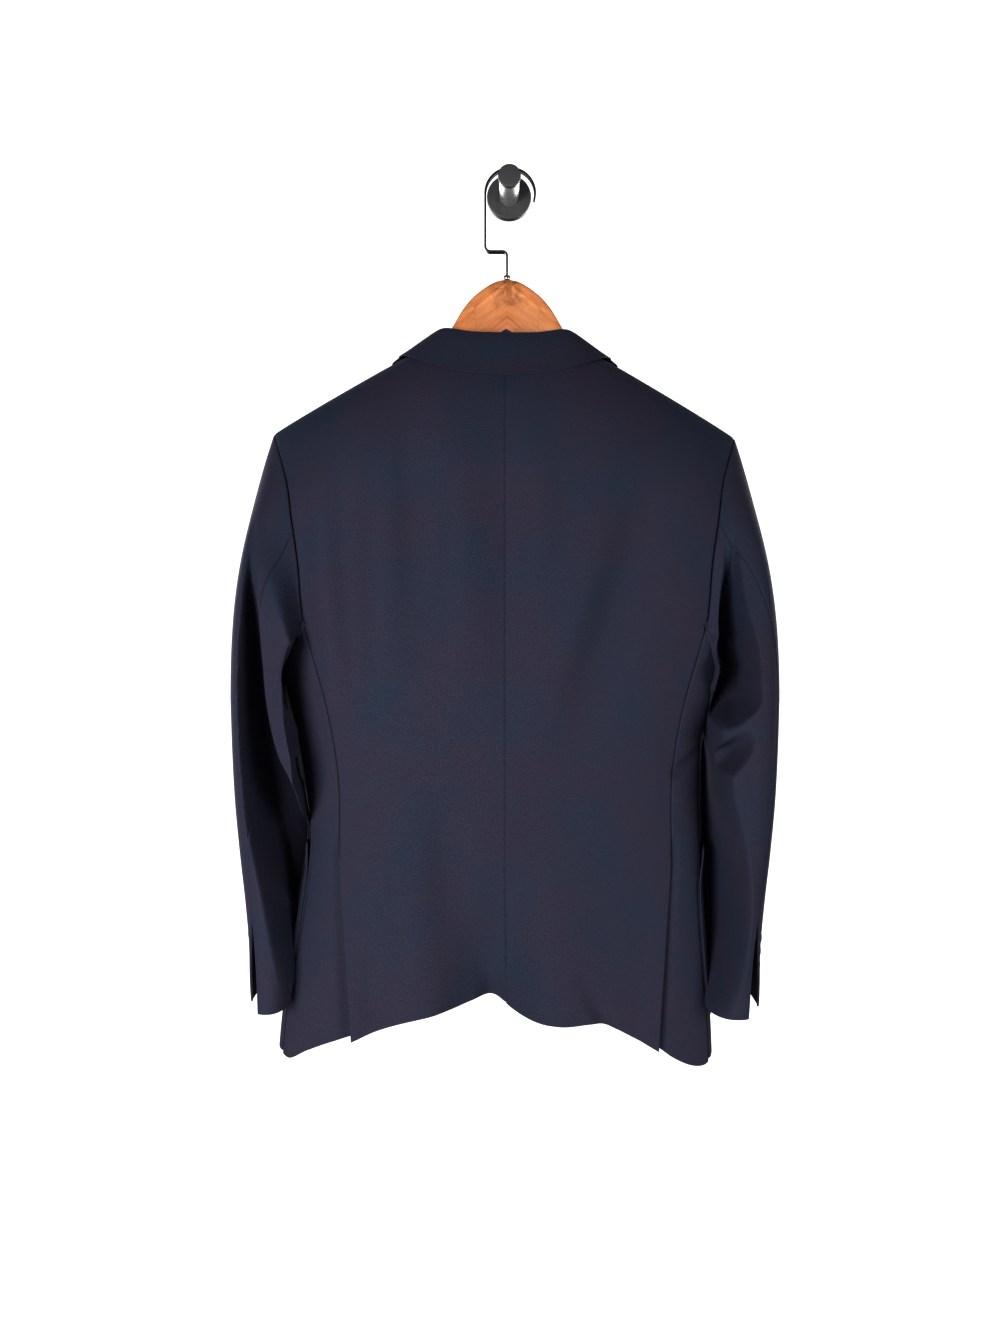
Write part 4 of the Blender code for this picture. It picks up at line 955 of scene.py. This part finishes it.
# %% [markdown]
# ## A sheet of cloth
# Each panel is a flat grid that is extruded once, which closes it into a thin slab with a rim. Its points are
# then laid on the panel's surface, the second layer one cloth deeper along the surface's normal. A Solidify
# modifier would do the same, but here the exact wall and the flat measures of the cut are needed as well:
# the measures give the UV map, so that the weave runs over the cloth at its real size. Where an edge is sewn,
# its last two millimetres turn inwards, which is what makes a seam show as a fine dark line.

# %% Measuring and laying a grid
def measured(place, axis):
    """Running length over the cloth along one axis of the grid."""
    step = np.linalg.norm(np.diff(place, axis=axis), axis=-1)
    return np.insert(np.cumsum(step, axis=axis), 0, 0.0, axis=axis)


def graded(count, near=(0.003, 0.007, 0.012, 0.019)):
    """Even columns or rows with a few fine ones near both ends, where an edge turns in."""
    near = np.array(near)
    return np.unique(np.concatenate([np.linspace(0, 1, count), near, 1 - near]))


def laid(surface, columns, rows, flip, low, high):
    """Places and outward normals of a grid of points on a surface."""
    a, b = np.meshgrid(columns, rows)
    step = 2e-4
    a0, a1 = np.maximum(a - step, low[0]), np.minimum(a + step, high[0])
    b0, b1 = np.maximum(b - step, low[1]), np.minimum(b + step, high[1])
    normal = np.cross(surface(a1, b) - surface(a0, b), surface(a, b1) - surface(a, b0))
    normal /= np.linalg.norm(normal, axis=-1)[..., None] * (-1 if flip else 1)
    return surface(a, b), normal


# %% Making a sheet
SEAM_WIDTH, SEAM_DEPTH = 0.0022, 0.0010  # how the cloth turns in at a sewn edge


def slab(name, columns, rows, flip):
    """A flat grid with a second layer below it, and each vertex's column, row and layer."""
    grid = bmesh.new()
    bmesh.ops.create_grid(grid, x_segments=len(columns) - 1, y_segments=len(rows) - 1, size=0.5)
    made = bmesh.ops.extrude_face_region(grid, geom=grid.faces[:])
    lower = [item for item in made["geom"] if isinstance(item, bmesh.types.BMVert)]
    bmesh.ops.translate(grid, vec=(0.0, 0.0, -1.0), verts=lower)
    bmesh.ops.recalc_face_normals(grid, faces=grid.faces[:])
    if flip:
        bmesh.ops.reverse_faces(grid, faces=grid.faces[:])
    mesh = bpy.data.meshes.new(name)
    grid.to_mesh(mesh)
    grid.free()
    flat = np.empty(len(mesh.vertices) * 3, np.float32)
    mesh.vertices.foreach_get("co", flat)
    flat = flat.reshape(-1, 3)
    column = np.rint((flat[:, 0] + 0.5) * (len(columns) - 1)).astype(int)
    row = np.rint((flat[:, 1] + 0.5) * (len(rows) - 1)).astype(int)
    return mesh, column, row, flat[:, 2] < -0.5


def add_cut(mesh, name, across, along):
    """A UV map in metres, from each vertex's place on the flat cut."""
    layer = mesh.uv_layers.new(name=name)
    corner = np.empty(len(mesh.loops), np.int32)
    mesh.loops.foreach_get("vertex_index", corner)
    layer.data.foreach_set("uv", np.stack([across, along], axis=-1)[corner].astype(np.float32).ravel())


def piece_of(name, mesh, finish, node_name):
    """A finished piece that rides on the body and stands for its CAD node."""
    mesh.materials.append(finish)
    mesh.shade_smooth()
    piece = bpy.data.objects.new(name, mesh)
    bpy.context.scene.collection.objects.link(piece)
    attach(piece, "root")
    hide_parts(node_name)
    return piece


def cloth(
    name, node_name, surface, columns, rows, sewn=(), flip=False, wall=CLOTH, low=(0.0, 0.0), high=(1.0, 1.0),
    open_below=None,
):
    """A sheet of wool on a surface. sewn names the edges that turn in: first, last, start and end."""
    place, normal = laid(surface, columns, rows, flip, low, high)
    width, length = measured(place, 1), measured(place, 0)
    edges = {"first": width, "last": width[:, -1:] - width, "start": length, "end": length[-1:] - length}
    turn_in = np.zeros_like(width)
    for edge in sewn:
        share = 1 - ease(0.0, SEAM_WIDTH, edges[edge])
        if open_below is not None and edge == open_below[0]:
            share = share * ease(open_below[1] - 0.004, open_below[1] + 0.004, place[..., 2])
        turn_in = np.maximum(turn_in, share)
    place = place - normal * (SEAM_DEPTH * turn_in)[..., None]
    mesh, column, row, inner = slab(name, columns, rows, flip)
    spot = place[row, column] - normal[row, column] * (wall * inner)[:, None]
    mesh.vertices.foreach_set("co", spot.astype(np.float32).ravel())
    middle = width[:, len(columns) // 2 : len(columns) // 2 + 1]
    add_cut(mesh, "cut", (width - middle)[row, column], length[row, column])
    mesh.update()
    piece = piece_of(name, mesh, wool, node_name)
    rim = piece.modifiers.new("Bevel", "BEVEL")
    rim.width, rim.segments, rim.limit_method, rim.angle_limit = 0.0004, 2, "ANGLE", math.radians(60)


# %% [markdown]
# ## The body of the blazer
# Two back panels meet in the centre seam. Each side panel joins back and front down to the side vent, and
# runs on under the back panel below it. The fronts lie against the wall. Below the top of a vent the back
# panel is free, so its edge is lifted a little and a shadow shows under it.

# %% Back, side and front panels
def vented(side):
    """The back panel with the free edge of its vent standing off."""
    surface = back_surface(side)

    def point(across, up):
        spot = surface(across, up)
        free = ease(VENT_TOP_Z, -0.860, spot[..., 2]) * ease(0.84, 1.0, across)
        spot[..., 1] -= VENT_LIFT * free
        return spot

    return point


for side, word in ((-1, "left"), (1, "right")):
    cloth(
        f"back_cloth_{word}", f"back_{word}", vented(side), graded(72), graded(210), ("first", "last", "end"),
        flip=side < 0, open_below=("last", VENT_TOP_Z),
    )
    cloth(
        f"side_cloth_{word}", f"side_{word}", side_surface(side), graded(34), graded(170),
        ("first", "last", "end"), flip=side < 0, open_below=("first", VENT_TOP_Z),
    )
    cloth(
        f"front_cloth_{word}", f"front_{word}", front_surface(side), graded(70), graded(165), ("last", "end"),
        flip=side > 0,
    )

# %% [markdown]
# ## The sleeves
# Each sleeve is cut in two: the top sleeve lies outside and in front, the under sleeve behind and inside, and
# the seam at the elbow shows from behind. The last 100 mm of that seam is a vent with four buttons, where the
# top sleeve laps over the under sleeve.

# %% Sleeves
def lapped(side, top):
    """The sleeve's panel with the free edge of the cuff vent standing off."""
    surface = sleeve_panel(side, top)

    def point(across, down):
        spot = surface(across, down)
        free = ease(VENT_SHARE, 0.95, down) * (ease(0.90, 1.0, across) if top else 0.0)
        spot[..., 0] += side * CUFF_LIFT * free
        return spot

    return point


for side, word in ((-1, "left"), (1, "right")):
    for top, kind in ((True, "top"), (False, "under")):
        cloth(
            f"{kind}_sleeve_cloth_{word}", f"{kind}_sleeve_{word}", lapped(side, top),
            graded(120), graded(180), ("first", "last", "start"), flip=side < 0,
        )

# %% [markdown]
# ## Lapels, collar and pockets
# The lapel is the front's own cloth turned back along the roll line, so it starts with a small roll round the
# front's edge. The collar stands up inside the neck, folds over and falls onto the back. Its front end stops
# short of the lapel's corner, which leaves the notch. The patch pockets are sewn on close to their edges.

# %% Lapels
def rolled_lapel(side):
    """The lapel with its cloth rolled round the edge of the front."""
    surface = lapel_surface(side)

    def point(across, up):
        flat = np.clip(across, 0.0, 1.0)
        spot = surface(flat, up)
        angle = math.pi * np.clip(-across / 0.06, 0, 1) * (0.10 + 0.90 * ease(0.04, 0.16, up))
        radius = 0.0019
        spot[..., 0] -= side * radius * np.sin(angle)
        spot[..., 1] -= radius * (1 - np.cos(angle))
        return spot

    return point


for side, word in ((-1, "left"), (1, "right")):
    columns = np.concatenate([np.linspace(-0.06, 0, 9), graded(44)[1:]])
    cloth(
        f"lapel_cloth_{word}", f"lapel_{word}", rolled_lapel(side), columns, graded(120), flip=side > 0,
        wall=0.0013, low=(-0.06, 0.0),
    )

# %% Collar
cloth("collar_cloth", "collar", collar_surface, graded(52), np.linspace(-1, 1, 241), low=(0.0, -1.0))

# %% Pockets
for side, word in ((-1, "left"), (1, "right")):
    columns = 0.25 + (0.990 - 0.25) * graded(60)
    rows = 0.065 + (0.318 - 0.065) * graded(70)
    cloth(f"pocket_cloth_{word}", f"pocket_{word}", pocket_surface(side), columns, rows, flip=side > 0)


# %% Hanging loop
def loop_surface(across, along):
    """A narrow tape sewn inside the stand at both ends, so that its peak shows above the collar."""
    x = 0.030 * (2 * along - 1)
    peak = 0.0190 * (1 - np.abs(2 * along - 1)) ** 0.9
    height = -0.1905 + peak + 0.0084 * across
    share = np.abs(x) / 0.18
    stand = collar_surface(np.interp(height, (-0.1925, -0.1675), (0.0, 0.34)), np.sign(x) * share + 1e-6)
    y = np.maximum(stand[..., 1], -0.0850) + 0.0026
    return np.stack([JACKET_X + 0.001 + x, y, height], axis=-1)


cloth("loop_tape", "hanging_loop", loop_surface, np.linspace(0, 1, 7), np.linspace(0, 1, 81), wall=0.001)

# %% [markdown]
# ## Buttons
# A jacket button is turned from horn: a disc with a raised rim, a dished middle and four holes, held by a
# crossed thread. The disc is a cone shape with two insets. The dish's floor is filled round four small
# circles, and those circles are pulled down into holes.

# %% A button
THREAD_RADIUS = 0.00026


def button(name, node_name, spot, normal, radius):
    """A dished button with four holes and its thread, standing just off the cloth."""
    thick, floor, hole = 0.0031, 0.0009, 0.00085
    shape = bmesh.new()
    bmesh.ops.create_cone(
        shape, cap_ends=True, segments=44, radius1=radius * 0.94, radius2=radius, depth=thick
    )
    top = max(shape.faces, key=lambda face: face.calc_center_median().z)
    bmesh.ops.inset_region(shape, faces=[top], thickness=radius * 0.22, depth=0.0)
    bmesh.ops.inset_region(shape, faces=[top], thickness=radius * 0.06, depth=-0.0008)
    level = thick / 2 - 0.0008
    rim = [e for e in shape.edges if e.calc_face_angle(0) > 0.5 and e.verts[0].co.z * e.verts[1].co.z > 0]
    bound = list(top.edges)
    bmesh.ops.delete(shape, geom=[top], context="FACES_ONLY")
    rings = []
    for x, y in ((1, 1), (-1, 1), (-1, -1), (1, -1)):
        place = Matrix.Translation((x * radius * 0.20, y * radius * 0.20, level))
        made = bmesh.ops.create_circle(shape, segments=12, radius=hole * radius / 0.010, matrix=place)
        ring = {e for vert in made["verts"] for e in vert.link_edges}
        rings.append(sorted(ring, key=lambda e: e.index))
    every = bound + [e for ring in rings for e in ring]
    bmesh.ops.triangle_fill(shape, use_beauty=True, use_dissolve=False, edges=every, normal=(0, 0, 1))
    for ring in rings:
        made = bmesh.ops.extrude_edge_only(shape, edges=ring)["geom"]
        low = [item for item in made if isinstance(item, bmesh.types.BMVert)]
        bmesh.ops.translate(shape, vec=(0, 0, -floor), verts=low)
        bmesh.ops.contextual_create(shape, geom=[i for i in made if isinstance(i, bmesh.types.BMEdge)])
    rim = [e for e in rim if e.is_valid]
    bmesh.ops.bevel(
        shape, geom=rim, offset=0.0005, segments=3, profile=0.5, affect="EDGES", clamp_overlap=True,
        material=-1,
    )
    bmesh.ops.recalc_face_normals(shape, faces=shape.faces[:])
    horn_faces = len(shape.faces)
    for turn in (45, 135):
        for beside in (-0.0003, 0.0003):
            place = (
                Matrix.Rotation(math.radians(turn), 4, "Z")
                @ Matrix.Translation((0, beside, level + 0.0002))
                @ Matrix.Rotation(math.radians(90), 4, "Y")
            )
            bmesh.ops.create_cone(
                shape, cap_ends=True, segments=8, radius1=THREAD_RADIUS, radius2=THREAD_RADIUS,
                depth=radius * 0.62, matrix=place,
            )
    shape.faces.ensure_lookup_table()
    for face in shape.faces[horn_faces:]:
        face.material_index = 1
    from_z = Vector(normal / np.linalg.norm(normal))
    turn = Vector((0, 0, 1)).rotation_difference(from_z).to_matrix().to_4x4()
    place = Matrix.Translation(Vector(spot) + from_z * (thick / 2 + 0.0006)) @ turn
    bmesh.ops.transform(shape, matrix=place, verts=shape.verts)
    mesh = bpy.data.meshes.new(name)
    shape.to_mesh(mesh)
    shape.free()
    piece_of(name, mesh, horn, node_name)
    mesh.materials.append(thread)
    mesh.set_sharp_from_angle(angle=math.radians(45))


# %% Front and cuff buttons
FRONT_RADIUS, CUFF_RADIUS = 0.010, 0.0064
front_place = front_lift(-1, 0.0)
for number, height in enumerate(BUTTON_Z):
    spot = front_place(np.array(0.0), np.array(height))
    name = f"button_{number + 1}"
    button(f"front_horn_{name}", f"front_{name}", spot, np.array([0.0, 1.0, 0.0]), FRONT_RADIUS)
for side, word in ((-1, "left"), (1, "right")):
    surface = sleeve_surface(side)
    for number in range(4):
        down, around = np.array(0.870 + 0.0280 * number), np.array(0.004)
        spot = surface(around, down)
        beside, below = surface(around + 1e-4, down), surface(around, down + 1e-4)
        normal = side * np.cross(beside - spot, below - spot)
        name = f"{word}_{number + 1}"
        button(f"cuff_horn_button_{name}", f"cuff_button_{name}", spot, normal, CUFF_RADIUS)
print("front and cuff buttons", 2000 * FRONT_RADIUS, "and", 2000 * CUFF_RADIUS, "mm across")

# %% [markdown]
# ## The hanger
# The hanger is one solid bar of wood in two halves, shaped to the neck and shoulders. Each half is a row of
# rounded sections bridged into a skin. The board is flat-faced in the neck, where it shows, with its edges
# rounded over, and grows thicker towards the shoulder. Its UV map runs from the centre joint outwards on both
# halves, so the grain is matched like the pages of a book.

# %% Hanger sizes
PLATE_RADIUS, PLATE_DEPTH = 0.0235, 0.008
SHAFT_RADIUS, SHAFT_END_Y = 0.0103, -0.0475
CAP_RADIUS, CAP_DEPTH = 0.0116, 0.0055
HOOK_Y, HOOK_WIDTH, HOOK_THICK, HOOK_BEND = -0.043, 0.006, 0.002, 0.0255
HOOK_X = 0.0008
FERRULE_RADIUS, FERRULE_TOP, FERRULE_BOTTOM = 0.0036, -0.0988, -0.1028
STEM_X = -0.0024
HANGER_TOP = -0.1031


# %% Hanger boards
def hanger_crest(side, distance, shift):
    """Top of the hanger: its dome in the neck, then the shoulder line less the cloth that rests on it."""
    dome = HANGER_TOP - smooth(HANGER_CREST, 1, distance)
    arm = ridge_height(side * distance + shift) - CLOTH - 0.0030
    share = ease(0.064, 0.084, distance)
    return dome + (np.minimum(arm, HANGER_TOP) - dome) * share


def hanger_half(side, name, node_name):
    stations = np.unique(np.concatenate([np.linspace(0.0, 0.080, 42), np.linspace(0.080, 0.218, 36)]))
    shape = bmesh.new()
    rings = []
    for distance in stations:
        far = np.array(distance)
        top = float(hanger_crest(side, far, STEM_X - JACKET_X))
        tall = 0.058 - 0.028 * float(ease(0.0, 0.12, far))
        thick = 0.013 + 0.005 * float(ease(0.09, 0.18, far))
        end = float(np.interp(distance, (0.180, 0.205, 0.214, 0.2172, 0.218), (1.0, 0.92, 0.72, 0.48, 0.34)))
        mid_y = HOOK_Y + (HANGER_Y - HOOK_Y) * float(ease(0.01, 0.075, far))
        place = Matrix.Translation((STEM_X + side * distance, mid_y, top - tall / 2)) @ Matrix.Rotation(
            math.radians(90), 4, "Y"
        )
        made = bmesh.ops.create_circle(shape, cap_ends=False, segments=40, radius=1.0, matrix=place)["verts"]
        squareness = 4.0 - 1.4 * float(ease(0.04, 0.12, far))
        for vert in made:
            y, z = vert.co.y - mid_y, vert.co.z - (top - tall / 2)
            vert.co.y = mid_y + math.copysign(abs(y) ** (2 / squareness), y) * 0.5 * thick * end
            vert.co.z = top - tall / 2 + math.copysign(abs(z) ** (2 / squareness), z) * 0.5 * tall * end
        rings.append(list({e for vert in made for e in vert.link_edges}))
    for near, far in zip(rings, rings[1:]):
        bmesh.ops.bridge_loops(shape, edges=near + far)
    for ring in (rings[0], rings[-1]):
        bmesh.ops.contextual_create(shape, geom=ring)
    bmesh.ops.recalc_face_normals(shape, faces=shape.faces[:])
    mesh = bpy.data.meshes.new(name)
    shape.to_mesh(mesh)
    shape.free()
    spots = np.array([vert.co for vert in mesh.vertices])
    add_cut(mesh, "board", np.abs(spots[:, 0] - STEM_X), spots[:, 2] + 0.30 * (spots[:, 1] > HANGER_Y))
    piece_of(name, mesh, wood, node_name)
    mesh.set_sharp_from_angle(angle=math.radians(50))
    print(name, len(mesh.polygons), "faces")


for side, word in ((-1, "left"), (1, "right")):
    hanger_half(side, f"hanger_board_{word}", f"hanger_{word}")

# %% [markdown]
# ## The hook
# A flat strip of steel is bent edgewise: an open bend over the peg, a straight drop, an offset and a short
# stem. A one-row grid follows that line and is extruded to the strip's width, which keeps the bend even.

# %% Hook line
def arc(centre, radius, first, last, count):
    angles = np.radians(np.linspace(first, last, count))
    return [(centre[0] + radius * math.cos(t), centre[1] + radius * math.sin(t)) for t in angles]


bend_centre = (HOOK_X, SHAFT_RADIUS + GAP - HOOK_BEND + HOOK_THICK / 2)
drop_x = HOOK_X - HOOK_BEND
hook_line = arc(bend_centre, HOOK_BEND, -17, 180, 90)
hook_line += [(drop_x, -0.035), (drop_x, -0.052)]
hook_line += arc((drop_x + 0.0055, -0.0687), 0.0055, 180, 270, 14)
hook_line += [(STEM_X - 0.0100, -0.0742)]
hook_line += arc((STEM_X - 0.0045, -0.0787), 0.0045, 90, 0, 14)
hook_line += [(STEM_X, -0.088), (STEM_X, FERRULE_TOP + GAP)]

# %% Hook
line = np.array(hook_line)
ahead = np.gradient(line, axis=0)
ahead /= np.linalg.norm(ahead, axis=1)[:, None]
aside = np.stack([-ahead[:, 1], ahead[:, 0]], axis=1) * HOOK_THICK / 2
shape = bmesh.new()
bmesh.ops.create_grid(shape, x_segments=len(line) - 1, y_segments=1, size=0.5)
for vert in shape.verts:
    step = round((vert.co.x + 0.5) * (len(line) - 1))
    spot = line[step] + aside[step] * (1 if vert.co.y > 0 else -1)
    vert.co = (spot[0], HOOK_Y - HOOK_WIDTH / 2, spot[1])
made = bmesh.ops.extrude_face_region(shape, geom=shape.faces[:])["geom"]
bmesh.ops.translate(
    shape, vec=(0, HOOK_WIDTH, 0), verts=[item for item in made if isinstance(item, bmesh.types.BMVert)]
)
bmesh.ops.recalc_face_normals(shape, faces=shape.faces[:])
mesh = bpy.data.meshes.new("hook_strip")
shape.to_mesh(mesh)
shape.free()
hook = piece_of("hook_strip", mesh, lacquer, "hook")
print("hook strip", round(float(np.linalg.norm(np.diff(line, axis=0), axis=1).sum()), 4), "m long")
soften = hook.modifiers.new("Bevel", "BEVEL")
soften.width, soften.segments, soften.limit_method, soften.angle_limit = 0.0004, 3, "ANGLE", math.radians(50)

# %% [markdown]
# ## The peg and the ferrule
# The wall peg is a round plate, a turned shaft and a cap. The ferrule is a small plated collar where the hook
# enters the wood. All four are discs whose rims are rounded, so one helper makes them.


# %% Discs
def disc(name, node_name, radius, near, far, axis, place, soft, finish, segments=96):
    """A round piece from one place on its axis to another, with rounded rims."""
    shape = bmesh.new()
    turn = Matrix.Rotation(math.radians(90), 4, "X") if axis == "Y" else Matrix.Identity(4)
    middle = 0.5 * (near + far)
    spot = (place[0], middle, place[2]) if axis == "Y" else (place[0], place[1], middle)
    bmesh.ops.create_cone(
        shape, cap_ends=True, segments=segments, radius1=radius, radius2=radius, depth=abs(far - near),
        matrix=Matrix.Translation(spot) @ turn,
    )
    rims = [e for e in shape.edges if len(e.link_faces) == 2 and max(len(f.verts) for f in e.link_faces) > 4]
    bmesh.ops.bevel(
        shape, geom=rims, offset=soft, segments=4, profile=0.5, affect="EDGES", clamp_overlap=True,
        material=-1,
    )
    bmesh.ops.recalc_face_normals(shape, faces=shape.faces[:])
    mesh = bpy.data.meshes.new(name)
    shape.to_mesh(mesh)
    shape.free()
    piece_of(name, mesh, finish, node_name)
    mesh.set_sharp_from_angle(angle=math.radians(40))
    print(f"{name}: {2000 * radius:.1f} mm across, {1000 * abs(far - near):.1f} mm long")


at_peg = (0.0, 0.0, 0.0)
disc(
    "peg_plate_disc", "peg_plate", PLATE_RADIUS, 0.0, -PLATE_DEPTH, "Y", at_peg, 0.0013,
    powder,
)
disc(
    "peg_shaft_rod", "peg_shaft", SHAFT_RADIUS, -PLATE_DEPTH, SHAFT_END_Y, "Y", at_peg, 0.0003,
    satin,
)
disc(
    "peg_cap_disc", "peg_cap", CAP_RADIUS, SHAFT_END_Y, SHAFT_END_Y - CAP_DEPTH, "Y", at_peg, 0.0009,
    powder,
)
disc(
    "ferrule_ring", "ferrule", FERRULE_RADIUS, FERRULE_TOP, FERRULE_BOTTOM, "Z",
    (STEM_X, HOOK_Y, 0.0), 0.0008, nickel, segments=48,
)
